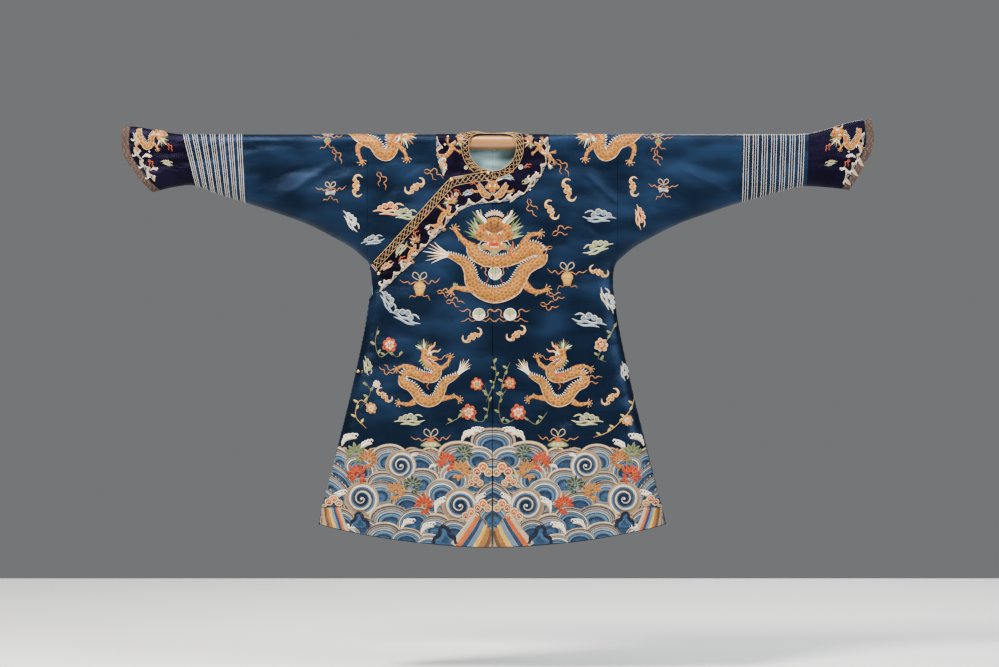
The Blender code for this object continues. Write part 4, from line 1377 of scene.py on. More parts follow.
def stem(work, path, colour="green", leaves=4, size=1.0, leaf="pale_green"):
    """A cord with leaves along it, in chart places."""
    work.at(0, 0)
    work.cord(path, colour, 0.8)
    line = smooth_path(path, leaves + 2)[1:-1]
    for n, (x, y) in enumerate(line):
        work.petal(x, y, 5.4 * size, 1.1 * size, -60 if n % 2 else -150, colour, leaf, level=0.3)


def emblem(work, x, y, size=1.0, kind="gourd", flip=False, angle=0.0):
    """One of the small lucky things, tied with a bow and a waving sash."""
    work.at(x, y, size, angle, flip)
    for side, reach in ((1, 1.0), (-1, 0.8)):
        sash = [(0, -3), (4, -5 * reach), (7.6, -2), (10.4, -5.6 * reach), (13.4, -3.4), (17.4, -7.4 * reach)]
        work.cord(sided(sash, side), "peach", 0.9)
        work.cord(sided([(0, 3.5), (3.6, 8.8), (6.8, 7.6), (8.8, 12.2 * reach)], side), "gold", 0.85)
        work.cord(sided("0 -5, 1.2 -10.5, 4.8 -12.5, 5.8 -8.6, 0 -5", side), "cream", 0.8)
    if kind == "gourd":
        work.fill(
            "-3 -3.6, 0 -4.6, 3 -3.6, 5.2 0, 3.6 4.6, 2.6 7.6, -2.6 7.6, -3.6 4.6, -5.2 0", "yellow",
            "gold_deep", 0.9, level=0.8,
        )
        work.band("-4.6 0.4, 0 1.6, 4.6 0.4", [0.9, 0.9], "cream rust cream", level=1.8)
        work.petal(0, -4.0, 5.0, 1.0, -80, "green", "pale_green", level=1.6)
    elif kind == "fan":
        work.fill(
            "-9.4 1.8, -4.2 -2.2, 0 -3.2, 4.2 -2.2, 9.4 1.8, 3 3.4, -3 3.4", "pale_green", "olive",
            level=0.8,
        )
        work.fill("-3.2 -2, 0 -5.6, 3.2 -2, 0 -0.8", "orange", "red", level=1.6)
        for side in (-1, 0, 1):
            work.disc(4.0 * side, 1.0, 1.0, "cream", level=2, sides=9)
    elif kind == "scroll":
        work.band("-5.6 1.6, 5.6 -1.6", [1.7, 1.7], "rust cream cream gold", level=0.8)
        work.band("-5 -2.2, 5 2.2", [1.3, 1.3], "sky pale_blue", level=1.4)
    else:
        for n in range(5):
            work.petal(
                0, 3.0, 7.4 - abs(n - 2), 1.3, -90 + (n - 2) * 26, "olive", "pale_green",
                level=0.8 + 0.2 * (n % 2),
            )
        work.disc(0, 3.0, 2.2, "orange", "peach", level=1.6)


def dots(work, places, radius=0.9, colour="cream"):
    work.at(0, 0)
    for x, y in drawn(places):
        work.disc(x, y, radius, colour, "white", level=0.2, sides=8, height=0.7)


# %% [markdown]
# ## Dragons
# A dragon is a long scaled band in couched gold, with a cream belly along one edge and white spines
# along the other. Legs are tapered bands with five pale claws, and the tail ends in a fan of long
# hairs. The head is either full face, as on chest and collar, or in profile.

# %% Dragons
SCALED = (-1, -0.86, -0.66, -0.3, 0, 0.34, 0.68, 0.88, 1)


def dragon_body(work, path, widths, belly, spine, level=0.6, tone="gold"):
    """The scaled body; belly and spine are +1 or -1, the sides of the path they lie on."""
    colours = ["cream", "peach", "gold_deep", tone, tone, "peach", tone, "gold_deep", "rust"]
    work.band(path, widths, colours[::-belly], 1.1, SCALED, "scales", level, step=1.5)
    line = smooth_path(path, 48)
    normal = directions(line)[1]
    width = np.interp(np.linspace(0, 1, 48), np.linspace(0, 1, len(widths)), widths)[:, None]
    work.spikes(line + normal * width * spine * 0.9, 2.5, 2.7, 0.75, spine, level=level + 0.4)
    work.cord(line - normal * width * spine * 1.02, "cream", 0.6, level=level + 0.2)
    work.cord(line + normal * width * spine * 0.96, "gold_deep", 0.5, level=level + 0.5)


def claw(work, x, y, angle, size=1.0, level=1.6):
    """A foot: a pad and five hooked claws round angle, in degrees."""
    work.disc(x, y, 1.7 * size, "gold", "peach", level=level, sides=10)
    for n in range(5):
        turn = math.radians(angle + (n - 2) * 44)
        tip = np.array([math.cos(turn), math.sin(turn)]) * size
        side = np.array([-tip[1], tip[0]])
        line = [(x, y), tuple(np.array([x, y]) + tip * 2.6), tuple(np.array([x, y]) + tip * 4.0 + side * 1.1)]
        work.band(
            line, [0.9 * size, 0.75 * size, 0.2 * size], "gold_deep peach gold_deep", 0.7,
            level=level + 0.2, step=1.0,
        )
        work.petal(
            *(np.array([x, y]) + tip * 3.7 + side * 0.8), 2.0 * size, 0.45 * size, math.degrees(turn) + 38,
            "cream", "peach", level=level + 0.6,
        )


def leg(work, path, widths, foot_angle, size=1.0, level=1.2):
    work.band(path, widths, "rust gold peach gold rust", 0.9, SCALED[::2], "scales", level, step=1.4)
    joints = drawn(path)
    claw(work, *joints[-1], foot_angle, size, level + 0.4)
    hx, hy = joints[len(joints) // 2]
    for n in range(3):
        work.petal(
            hx, hy, 5.2 * size, 0.8 * size, foot_angle + 150 + 24 * n, "green", "pale_green",
            level=level - 0.4,
        )


def hairs(work, x, y, angle, spread, length, count, colours, level=0.2, width=0.75):
    """A fan of long hairs from (x, y), each bending a little."""
    colours = colours.split()
    for n in range(count):
        share = n / max(1, count - 1) - 0.5
        turn = math.radians(angle + share * spread)
        reach = length * (1 - 0.35 * abs(share) + 0.12 * (n % 2))
        ux, uy = math.cos(turn), math.sin(turn)
        bend = share * 1.6
        line = [
            (x, y), (x + ux * reach * 0.5 + uy * bend, y + uy * reach * 0.5 - ux * bend),
            (x + ux * reach, y + uy * reach),
        ]
        work.band(
            line, [width, width * 0.9, 0.12], colours[n % len(colours)], 0.5, (-1, 0, 1), level=level,
            step=2.0,
        )


def face_on_head(work, x, y, size=1.0, level=2.0, angle=0.0):
    """A dragon's head seen full face, 27 squares wide at size 1."""
    work.at(x, y, size, angle)
    for side in (-1, 1):
        for hair_x, hair_y, lean in ((9, -4, 34), (12, 3, 46), (11, 9, 58)):
            hairs(
                work, hair_x * side, hair_y, -90 + lean * side, 36, 20, 4, "olive green sage pale_green",
                level - 1.4, 1.5,
            )
        hairs(work, 8 * side, 14, 90 - 62 * side, 50, 11, 6, "sage green", level - 1.4, 1.3)
        work.band(sided("8.5 -8.5, 11.5 -12.5, 15 -15, 17.6 -20.6", side), [2.3, 1.8, 1.2, 1.2],
                  "orange white cream", 0.9, level=level)
        work.petal(11.0 * side, -3.0, 6.4, 2.2, -90 + 66 * side, "orange", "peach", level=level)
    for n in range(9):
        work.petal(
            (n - 4) * 1.7, -15.6 + 0.10 * (n - 4) ** 2, 6.2 - 0.14 * (n - 4) ** 2, 1.1, -90 + (n - 4) * 11,
            "peach", "white", level=level + 0.2,
        )
    dome = "-13 0.6, -12.4 -5.6, -8.4 -11.4, 0 -14.2, 8.4 -11.4, 12.4 -5.6, 13 0.6, 6 1.6, 0 3, -6 1.6"
    work.fill(dome, "gold_deep", "gold", 1.4, level=level + 0.4, smooth=36, kind="scales")
    for side in (-1, 1):
        work.disc(14.2 * side, 3.6, 4.8, "gold_deep", "peach", 1.2, 1.2, level + 0.6, 18, "scales")
        work.fill(
            sided("0 2, 7.5 0.4, 11 4, 10 9, 5.5 12.6, 0 11", side), "gold_deep", "peach", 1.2,
            level=level + 0.8,
        )
        for n in range(5):
            rib = [(1, 0.4 - n), (3.4, -2.0 - 1.5 * n), (8.6 - 1.2 * n, -3.6 - 1.7 * n)]
            work.cord(sided(rib, side), "brown", 0.55, level + 3.0)
        work.petal(2.0 * side, 3.4, 8.4, 1.0, -90 + 62 * side, "cream", "pale_green", level=level + 2.6)
        work.petal(1.4 * side, 1.6, 9.8, 1.1, -90 + 55 * side, "rust", "brown", level=level + 3.2)
        work.disc(5.4 * side, 2.6, 1.3, "white", "pale_green", 0.8, 0.8, level + 3.6, 12)
        work.disc(5.0 * side, 2.7, 0.8, "ink", "ink", 0.7, 1.0, level + 4.6, 8)
        work.disc(3.6 * side, 6.4, 2.4, "orange", "peach", 1.1, 0.7, level + 2.8, 14)
        work.disc(9.4 * side, 15.2, 3.2, "gold", "peach", 1.1, 1.1, level + 1.4, 14)
        curl(work, 9.4 * side, 15.2, 2.6, 1.0, 200, "rust cream gold", 0.6, level + 2.6)
        work.cord(sided("8 11, 12.5 9.6, 14.6 13, 16.8 14.4", side), "white", 0.6, level + 2.0)
        work.petal(6.6 * side, 13.6, 3.4, 0.6, -80, "white", "white", level=level + 4.2)
    work.disc(0, 6.0, 2.6, "peach", "orange", 1.3, 0.9, level + 3.2, 14)
    work.fill("-8.4 12, 0 8.8, 8.4 12, 9 17, 4 19.6, -4 19.6, -9 17", "gold", "peach", 1.2, level=level + 1.0)
    work.fill(
        "-6 14, -3 10.6, 0 11.4, 3 10.6, 6 14, 4.6 16.6, -4.6 16.6", "red", "orange", 0.8,
        level=level + 2.8, smooth=20,
    )
    for n in range(6):
        work.petal((n - 2.5) * 1.5, 16.6, 2.2, 0.6, -90, "cream", "white", level=level + 4.0)
    for n in range(9):
        work.petal(
            (n - 4) * 1.9, 18.6 - 0.1 * (n - 4) ** 2, 7.4, 1.3, 90 + (n - 4) * 16,
            "green" if n % 2 else "sage", "pale_green", level=level + 0.2,
        )


def profile_head(work, level=2.4):
    """A dragon's head in profile, looking to +x with the jaw open, round its own (0, 0)."""
    hairs(work, -4.5, -1.0, -160, 110, 12, 9, "green white pale_green olive", level - 1.4, 0.9)
    hairs(work, -1.0, -5.0, -120, 50, 9, 4, "peach orange", level - 1.2, 0.8)
    work.band(
        "-1.5 -4, -4 -8, -3 -12.5, -5.5 -16", [1.3, 1.1, 0.9, 0.4], "orange pale_peach cream", 0.8,
        level=level,
    )
    work.band(
        "1 -4.8, 1.5 -9, 4.5 -12, 4 -16", [1.2, 1.0, 0.8, 0.3], "orange pale_peach cream", 0.8, level=level,
    )
    work.fill(
        "-6.5 0, -5 -4.6, 0 -6, 4.6 -4.6, 8.4 -7.4, 11.4 -5.4, 9.4 -2.4, 5.4 -0.6, 2.4 2.6, -3 4.4", "gold",
        "peach", 1.3, level=level + 0.4, smooth=36, kind="scales",
    )
    work.fill(
        "-2.6 3, 2 1.6, 5 3.4, 10.6 2.4, 12.6 4, 8.4 7, 2.6 7.6, -2 6.4", "peach", "gold", 1.1,
        level=level + 0.4, smooth=30,
    )
    work.fill("2.4 1.6, 6.4 -0.6, 10 0.2, 9.4 2.6, 5 3.8", "red", "orange", 0.6, level=level, smooth=18)
    work.cord("3.6 2.2, 8 1, 12.6 0.4, 13.8 -1.6", "red", 0.9, level + 2.6)
    for n in range(4):
        work.petal(4.4 + 1.7 * n, -0.6 - 0.9 * n, 2.0, 0.45, 84, "white", "white", level=level + 2.6)
        work.petal(4.8 + 1.8 * n, 3.8 - 0.3 * n, 1.9, 0.45, -96, "white", "white", level=level + 2.6)
    work.disc(9.6, -5.6, 1.9, "orange", "peach", 1.1, level=level + 2.2, sides=12)
    work.disc(1.0, -2.8, 2.0, "white", "cream", 1.0, level=level + 2.4, sides=14)
    work.disc(1.4, -2.7, 1.1, "ink", "red", 0.9, level=level + 3.6, sides=10)
    work.petal(-2.0, -5.4, 6.4, 1.1, 14, "cream", "white", level=level + 2.8)
    work.petal(-5.2, 1.4, 4.4, 1.5, -150, "orange", "peach", level=level + 1.6)
    work.cord("10.6 -6.4, 13.6 -10, 12.2 -14.4, 15.4 -17.6", "peach", 0.8, level + 1.0)
    work.cord("10.8 5.4, 14.8 4.4, 17.6 0.4, 20.6 1.2", "peach", 0.8, level + 1.0)
    for n in range(4):
        work.petal(
            1.0 + 2.4 * n, 6.4, 5.0, 0.8, 96 - 6 * n, "green" if n % 2 else "pale_green", "sage",
            level=level,
        )


def full_face_dragon(work, x, y, size=1.0, flip=False):
    """The great dragon of chest and back: its head full face, its body coiled under a pearl."""
    work.at(x, y, size, 0, flip)
    upper = "-22 3, -20.5 10.5, -12 16.5, 0 19, 12 18, 22 14, 31 8.6, 40 6.6, 47.5 11.4"
    lower = (
        "47.5 11.4, 46.4 17.6, 38 22, 30.6 27, 25.2 36, 17.6 46.6, 1 52.6, -13.6 48.4, -22.4 39, "
        "-24.6 29, -29.4 20.6, -38.6 15.6, -46 13"
    )
    hairs(work, -44.0, 13.0, 188, 62, 25, 7, "white cream pale_peach", 0.2, 0.8)
    leg(work, "-20 46, -30 46.8, -40 45.6, -44 49.4", [4.6, 3.2, 2.1, 1.9], 110)
    leg(work, "29 40.5, 36 47.4, 44 49.6, 52 47.2", [4.6, 3.3, 2.2, 1.9], -20)
    dragon_body(work, upper, [6.2, 6.6, 6.4, 6.0, 6.0, 6.6, 7.6, 7.6, 5.6], 1, -1, 0.4)
    dragon_body(work, lower, [5.2, 6.0, 6.4, 7.0, 7.6, 8.0, 8.0, 7.6, 7.0, 6.2, 5.2, 4.0, 2.2], -1, 1, 0.8)
    leg(work, "-21 5, -28 1, -35 -6, -39.5 -13", [4.4, 3.2, 2.2, 1.9], -98)
    leg(work, "27 5.4, 31.5 -3, 37 -7.6, 45 -8.4", [4.4, 3.2, 2.2, 1.9], 8)
    work.band(
        "19 15.5, 15.4 9, 18.6 3.4, 17.8 -1.2", [1.6, 1.6, 1.1, 0.3], "red orange peach", 0.9, level=3.0,
    )
    face_on_head(work, x, y - 11.0 * size, size)
    pearl(work, x + 0.6 * size, y + 31.0 * size, 6.6 * size, False)
    work.at(x, y, size, 0, flip)
    for side in (-1, 1):
        work.cord(sided("6.8 34, 9.4 31, 8.4 26.4, 11.6 24, 14 26.8", side), "peach")
        work.cord(sided("6 35.6, 7.2 39.6, 10.6 40.4", side), "orange", 0.8)


def side_dragon(work, x, y, size=1.0, flip=False):
    """A dragon in profile that coils twice; (x, y) is the middle of its body, and it looks to -x."""
    work.at(x, y, size, 0, flip)
    hairs(work, -30.0, -6.6, 234, 46, 18, 7, "white cream pale_peach", 0.2, 0.7)
    leg(work, "-14 16, -21 15.4, -28 14.4, -32 17.4", [3.3, 2.4, 1.7, 1.4], 150, 0.8)
    leg(work, "12 19, 18 22, 24 21.6, 28 20.8", [3.3, 2.4, 1.7, 1.4], -10, 0.8)
    upper = "2 -18, -6 -16, -9.8 -10.6, -6.6 -5, 2 -4.4, 10 -7.6, 18 -9.8, 24.6 -6.4"
    lower = (
        "24.6 -6.4, 24.4 0.4, 16.6 4.4, 11 10.4, 6 17, -2 19.4, -9.8 16, -13.6 8, -17.6 0, "
        "-25 -4, -31 -7.4"
    )
    dragon_body(work, upper, [3.6, 4.0, 4.4, 4.6, 4.6, 4.6, 4.4, 3.4], 1, -1, 0.4, "yellow_gold")
    dragon_body(
        work, lower, [3.4, 4.2, 4.6, 4.9, 5.1, 5.1, 4.9, 4.5, 3.8, 2.9, 1.6], -1, 1, 0.8, "yellow_gold",
    )
    work.band("-4 -5.6, 1 -7.4, 5.4 -6.2", [2.0, 2.4, 0.8], "red orange peach", 0.9, level=2.8)
    leg(work, "-9 -13, -15.6 -14.6, -21 -19.6, -23 -25", [3.3, 2.4, 1.7, 1.4], -104, 0.8)
    leg(work, "12 -12, 19 -15.6, 26 -15.4, 30 -13", [3.3, 2.3, 1.7, 1.4], 24, 0.8)
    work.at(*work.chart([(0.6, -27.0)])[0], size * 0.94, 52, not flip)
    profile_head(work)
    work.at(x, y, size, 0, flip)
    work.cord("-2 7.6, 0.6 3.8, -2.2 0.4, 1.8 -0.4, 3.8 1.6", "orange", 1.0)


def shoulder_dragon(work, x, flip=False):
    """A dragon laid over the shoulder: its middle is on the top edge, so half shows in front, half behind."""
    work.at(x, 131, 1.0, 0, flip)
    for angle in (66, -66):
        hairs(work, 8, 0, angle, 96, 17, 10, "green white pale_green peach", 0.4, 1.0)
    front = "-44 -18, -42 -6, -36 4, -27 9.6, -19 13.6, -13 22, -6 24, -1 17, -2.6 9, -2 0"
    dragon_body(work, front, [3.0, 5.0, 5.8, 6.0, 5.8, 6.0, 6.0, 5.4, 4.6, 4.2], 1, -1, 0.4)
    behind = "-2 0, -4 -10, -12 -16, -22 -15, -30 -21, -36 -30, -30 -38"
    dragon_body(work, behind, [4.2, 5.2, 6.0, 6.0, 5.6, 4.6, 2.4], 1, -1, 0.6)
    leg(work, "-32 12, -36 18, -34 26, -32 31", [3.6, 2.6, 1.7, 1.5], 60, 0.9)
    leg(work, "0 12, 6 16, 11 22, 13 28", [3.6, 2.6, 1.8, 1.5], 76, 0.9)
    leg(work, "-18 -20, -12 -27, -4 -30", [3.4, 2.2, 1.5], -40, 0.9)
    work.band("-1 9, 2 4, 8 5.6", [1.4, 1.4, 0.3], "red orange", 0.8, level=2.6)
    side = -1 if flip else 1
    turned_head(work, x - 0.62 + 12 * side, 131, 0.60, -90 * side)


def turned_head(work, x, y, size, angle):
    """A small full face: dome, cheeks, eyes, nose and mouth, turned by angle."""
    work.at(x, y, size, angle)
    for side in (-1, 1):
        work.band(sided("8 -8, 11 -14, 17 -18", side), [1.9, 1.5, 0.7], "peach cream", 0.9, level=2.2)
        work.disc(12.4 * side, 3.6, 5.0, "peach", "gold", 1.1, level=2.4, sides=16)
    work.fill("-12 3, -12.4 -5, -7.4 -11, 0 -13, 7.4 -11, 12.4 -5, 12 3, 7.4 14, 0 17.6, -7.4 14",
              "gold", "gold_deep", 1.5, level=2.4, smooth=32, kind="scales")
    for side in (-1, 1):
        work.disc(5.6 * side, 1.6, 2.3, "white", "cream", 0.9, level=5.0, sides=12)
        work.disc(5.4 * side, 1.8, 1.2, "ink", level=6.0, sides=8)
        work.petal(2.4 * side, 0.4, 8.4, 1.3, -90 + 58 * side, "cream", "white", level=4.8)
    work.disc(0, 7.4, 2.6, "orange", "peach", 1.3, level=4.6, sides=14)
    work.fill("-5 11.6, 0 10.2, 5 11.6, 3.4 14.6, -3.4 14.6", "red", "orange", 0.9, level=4.8, smooth=16)
    for n in range(5):
        work.petal((n - 2) * 1.7, 11.4, 2.2, 0.55, 90, "white", level=5.6)
        work.petal((n - 2) * 2.4, 15.6, 7.0, 1.0, 90 + (n - 2) * 20, "green", "pale_green", level=2.0)


# %% [markdown]
# ## Waves and mountains
# The hem is worked as a sea: rows of rounded hills of water, each row in front of the last, with
# curled breakers, foam fingers, sprays of leaves, rocks and slanting stripes at the middle and the
# sides. A hill is a set of rings, pale at its rim and dark inside, as rows of long and short stitches.

# %% Sea
HILL_RINGS = np.array(
    [1.0, 0.97, 0.935, 0.90, 0.865, 0.83, 0.79, 0.75, 0.71, 0.67, 0.62, 0.57, 0.50, 0.38, 0.20, 0.02]
)
HILL_THREADS = {
    "warm": "ink sand cream tan brown navy grey navy sand navy pale_blue navy sky navy mid_blue blue",
    "cool": "ink tan sand brown navy grey navy cream navy sky navy sky navy blue blue mid_blue",
    "pale": "brown sand cream tan grey navy sand navy white navy sky navy sky navy blue mid_blue",
}
ROW_LIFT = 0.75
# The inner rings sit this share of a hill's height lower, so most of them go under the next row
INNER_DROP = 0.55


def hill(work, x, y, wide, high, tone, row, lean=0.0, sides=32):
    """One hill of water with its top at (x, y); it is round above and straight-sided below."""
    work.at(0, 0, floor=row * ROW_LIFT)
    angle = np.linspace(0, 2 * math.pi, sides, endpoint=False)
    rings = HILL_RINGS[:, None]
    across = np.where(np.sin(angle) > 0, np.sign(np.cos(angle)) * np.abs(np.cos(angle)) ** 0.5, np.cos(angle))
    px, py = wide * rings * across, high * rings * np.sin(angle)
    low = high * INNER_DROP * (1 - rings)
    points = np.stack([x + px + lean * py, y + high + py + low], -1).reshape(-1, 2)
    lifts = np.repeat(0.75 * (1 - HILL_RINGS**9 * 1.15), len(angle))
    colours = np.repeat(np.array([shade(c) for c in HILL_THREADS[tone].split()]), len(angle), axis=0)
    uv = np.stack(
        [np.repeat(HILL_RINGS * high * SQUARE, len(angle)), np.tile(angle * 0.02, len(HILL_RINGS))], axis=1,
    )
    work.add(points, lifts, grid_quads(len(HILL_RINGS), len(angle), True), colours, uv, "stitch", 0)


SPIRAL_THREADS = "navy blue mid_blue sky navy white sand cream tan".split()


def breaker(work, x, y, radius, row, flip=False):
    """A curled breaker: a disc of water with a band wound into its middle."""
    work.at(x, y, 1.0, 0, flip, floor=row * ROW_LIFT)
    work.disc(0, 0, radius, "navy", "tan", 0.6, level=0.6, sides=36)
    t = np.linspace(0, 1, 64)
    angle = math.radians(70) - t * 2.5 * 2 * math.pi
    reach = radius * 0.82 * (1 - t) ** 0.92 + 0.3
    path = np.stack([reach * np.cos(angle), reach * np.sin(angle)], 1)
    widths = [radius * 0.165, radius * 0.15, radius * 0.13, radius * 0.09, radius * 0.04]
    work.band(
        path, widths, SPIRAL_THREADS, 0.9, (-1, -0.75, -0.5, -0.25, 0, 0.25, 0.5, 0.75, 1), level=1.6,
        step=1.0,
    )
    work.disc(0, 0, 1.1, "white", "cream", 0.9, level=3.0, sides=10)


def foam(work, x, y, size=1.0, flip=False, row=0.0, angle=0.0):
    """A breaking crest: a pale crescent with hooked fingers along its back."""
    work.at(x, y, size, angle, flip, floor=row * ROW_LIFT)
    work.band(
        "-9.5 8, -7 2.2, -2 -0.6, 4.5 -0.4", [0.7, 2.2, 2.4, 0.8], "sand white cream tan", 0.8, level=0.8,
        step=1.5,
    )
    for n in range(4):
        hx, hy = -6.6 + 3.1 * n, 1.0 - 1.3 * n + 0.28 * n * n
        curl = drawn("-0.6 0.6, -0.2 -3, 1.8 -4.4, 3.3 -3, 2.6 -1.8") + [hx, hy]
        work.band(curl, [0.95, 0.9, 0.8, 0.7, 0.35], "white white sand", 0.8, level=1.6, step=1.0)


def rock(work, x, y, size=1.0, flip=False, row=4.6):
    work.at(x, y, size, 0, flip, floor=row * ROW_LIFT)
    work.fill(
        "-10 13, -9 6, -4 2, -2 -5, 4 -7, 8 -3, 8 3, 13 6, 14 13", "mid_blue", "blue", 1.0, level=1.0,
        smooth=34,
    )
    work.fill("-5 12, -3 5, 2 1, 4 6, 8 9, 9 12", "blue", "mid_blue", 0.8, level=2.2)
    for path in ("-9 12, -8 6, -3 3, -1 -3, 4 -5.4, 6.6 -1.6, 4.4 1", "6 0, 8 4, 12 6.4, 13 12"):
        work.band(path, [2.3, 2.2, 1.9, 1.2], "ink ink navy ink", 0.8, level=2.6, step=1.3)


def cloud_head(work, x, y, size=1.0, flip=False, row=4.6, tints=("red", "gold_deep", "orange", "green")):
    """The three curled lobes of a lingzhi shape."""
    work.at(x, y, size, 0, flip, floor=row * ROW_LIFT)
    for n, (cx, cy, r) in enumerate(((-4.6, 0.8, 3.4), (4.2, 1.2, 3.4), (0.0, -2.6, 3.9))):
        work.disc(cx, cy, r * 1.15, "ink", "brown", 0.7, level=1.0 + 0.4 * n, sides=18)
        work.disc(cx, cy, r * 1.05, "sand", "cream", 0.9, level=1.3 + 0.4 * n, sides=18)
        work.disc(cx, cy, r * 0.80, tints[n % len(tints)], level=2.2 + 0.4 * n, sides=16)
        work.band(
            [(cx - r * 0.4, cy + r * 0.3), (cx, cy - r * 0.3), (cx + r * 0.4, cy + r * 0.2)],
            [0.4, 0.5, 0.3], "cream", level=3 + 0.4 * n,
        )
    work.petal(-6.0, 3.6, 5.4, 1.5, 160, tints[3 % len(tints)], "cream", level=1.2)


def slanting_stripes(work, start, end, step, low_step, threads, row=3.1, width=2.3):
    """Bands of standing water side by side; each starts further on by step and ends by low_step."""
    work.at(0, 0, floor=row * ROW_LIFT)
    (ax, ay), (bx, by), (sx, sy), (lx, ly) = start, end, step, low_step
    for n, name in enumerate(threads):
        top, low = (ax + sx * n, ay + sy * n), (bx + lx * n, by + ly * n)
        middle = (top[0] * 0.6 + low[0] * 0.4 - sx * 0.35, top[1] * 0.6 + low[1] * 0.4)
        work.band(
            [top, middle, low], [width, width * 1.2, width * 1.5],
            ["brown", name, name, name, "cream" if n % 2 else "tan"], 0.8, level=1.4 + 0.3 * n, step=1.6,
        )


# Hills from the back of the sea to the front: (top x, top y, half width, half height, tone, row, lean)
HILLS = [
    (496, 427, 25, 16, "cool", 0.0, 0.3), (464, 440, 26, 17, "warm", 0.4, 0.3),
    (479, 445, 17, 12, "pale", 0.8, 0.1), (389, 443, 19, 14, "warm", 0.0, -0.1),
    (421, 448, 18, 15, "cool", 0.4, 0.3), (344, 446, 13, 15, "warm", 0.2, 0.5),
    (361, 452, 17, 14, "pale", 0.5, 0.3), (341, 459, 13, 18, "cool", 0.9, 0.6),
    (489, 455, 19, 16, "warm", 1.2, -0.3), (386, 470, 19, 13, "cool", 1.3, 0.2),
    (421, 467, 19, 13, "warm", 1.3, -0.1), (337, 469, 12, 18, "warm", 1.5, 0.6),
    (455, 463, 15, 13, "pale", 1.1, 0.1), (381, 478, 17, 13, "warm", 1.8, 0.0),
    (442, 477, 18, 14, "pale", 1.8, 0.0), (491, 479, 16, 17, "cool", 1.9, -0.4),
    (333, 483, 11, 19, "cool", 2.0, 0.6), (408, 489, 19, 14, "cool", 2.1, 0.1),
    (491, 495, 17, 18, "warm", 2.5, -0.4), (391, 502, 22, 15, "warm", 2.6, 0.0),
    (414, 505, 19, 14, "cool", 2.8, -0.2), (436, 512, 19, 14, "warm", 3.0, 0.1),
    (345, 506, 14, 15, "cool", 2.7, 0.3), (365, 514, 18, 14, "cool", 3.0, 0.3),
    (384, 520, 20, 14, "warm", 3.4, 0.0), (407, 526, 18, 12, "cool", 3.7, 0.1),
    (455, 517, 17, 14, "cool", 3.4, 0.1), (429, 532, 17, 12, "pale", 3.8, 0.0),
    (348, 522, 15, 11, "pale", 3.5, 0.2), (475, 512, 14, 16, "cool", 3.1, 0.0),
]
SPRAYS = [
    (357, 453, 0.95, -10, "olive", "sage"), (369, 459, 0.98, 12, "rust", "peach"),
    (358, 474, 0.98, -40, "red", "orange"), (396, 491, 0.95, 20, "gold_deep", "peach"),
    (413, 484, 0.92, -6, "ink", "sage"), (424, 504, 0.95, 4, "red", "orange"),
    (447, 461, 0.98, -24, "red", "orange"), (464, 453, 0.88, 26, "ink", "sage"),
    (461, 470, 0.98, 32, "gold_deep", "peach"),
]
FOAMS = [
    (353, 438, 0.95, 0), (369, 444, 0.9, -10), (471, 434, 0.95, 0), (478, 431, 0.9, 10),
    (343, 494, 0.85, -14), (442, 502, 0.95, -20), (482, 497, 0.8, -20), (353, 527, 0.8, 6),
    (430, 526, 0.95, 0), (410, 522, 0.85, 4), (415, 455, 0.5, 0), (434, 466, 0.5, 8),
]
SPRAY_FLOOR = 3.1
STANDING_WATER = "tan brown gold_deep yellow sky blue orange sand".split()


def sea(work, flip=False):
    """One half of the sea; the other half is the same, turned over about the centre seam."""
    turn = (lambda x: 2 * CHART_X - x) if flip else (lambda x: x)
    shift = 1.5 if flip else 0.0
    side = -1 if flip else 1
    for n in range(44):
        x, y = 326 + 17.5 * (n % 11) + 8.7 * (n // 11 % 2), 446 + 21 * (n // 11)
        hill(work, turn(x) + shift, y, 13, 13, ("warm", "cool")[n % 2], 0.02 * n - 0.6, 0.1 * side, 16)
    for x, y, wide, high, tone, row, lean in HILLS:
        hill(work, turn(x) + shift, y, wide, high, tone, row, lean * side)
    for x, y, radius, row in ((401, 465, 15.4, 1.6), (362.5, 498, 17.0, 2.6), (460, 505, 17.6, 3.0)):
        breaker(work, turn(x) + shift, y, radius, row, flip)
    for x, y, size, angle in FOAMS:
        foam(work, turn(x) + shift, y, size, flip, 1.2 + (y - 430) / 34, angle)
    for x, y, size, angle, inner, outer in SPRAYS:
        spray(work, turn(x) + shift * 2, y, size * 1.22, angle, inner, outer, 7, flip)
    for x, y, size in ((362, 516, 0.8), (447, 531, 1.0)):
        rock(work, turn(x), y, size, not flip)
    for x, y, size in ((336, 501, 1.0), (483, 470, 1.3), (476, 481, 1.0), (471, 514, 1.1), (483, 506, 1.15)):
        cloud_head(work, turn(x), y, size, flip)
    slanting_stripes(
        work, (turn(326), 508), (turn(329), 531), (side * 2.0, -0.2), (side * 2.9, 0.3), STANDING_WATER,
        3.3, 1.6,
    )
    slanting_stripes(
        work, (turn(493.5), 533), (turn(490), 550), (-side * 2.5, -3.0), (-side * 5.2, -0.9),
        STANDING_WATER, 3.8, 2.1,
    )

# %% [markdown]
# ## Laying out the needlework
# Every piece of needlework needs to know which face of which part it lies on. On the body it lies on
# the robe's outer face, which the overlap raises on the right front. On collar and cuffs it lies on
# the facing or the cuff. At side seams and hem it stops just short of the edge.

# %% Where needlework lies


def outer_lift(x, v):
    """How far the robe's outer face lies off the hanging cloth's inner skin."""
    over = (x < 0) & (v > ARC) & (beside_lapel(x, v - ARC) > 0)
    return CLOTH + np.where(over, overlap_lift(x), np.where(x < 0, flap_sink(x, v), 0.0))


def on_body(x, v, lift):
    return on_cloth(x, v, outer_lift(x, v) + lift + SEAM_GAP)


def on_facing(x, v, lift):
    return on_cloth(x, v, outer_lift(x, v) + FACING + 0.0005 + lift)


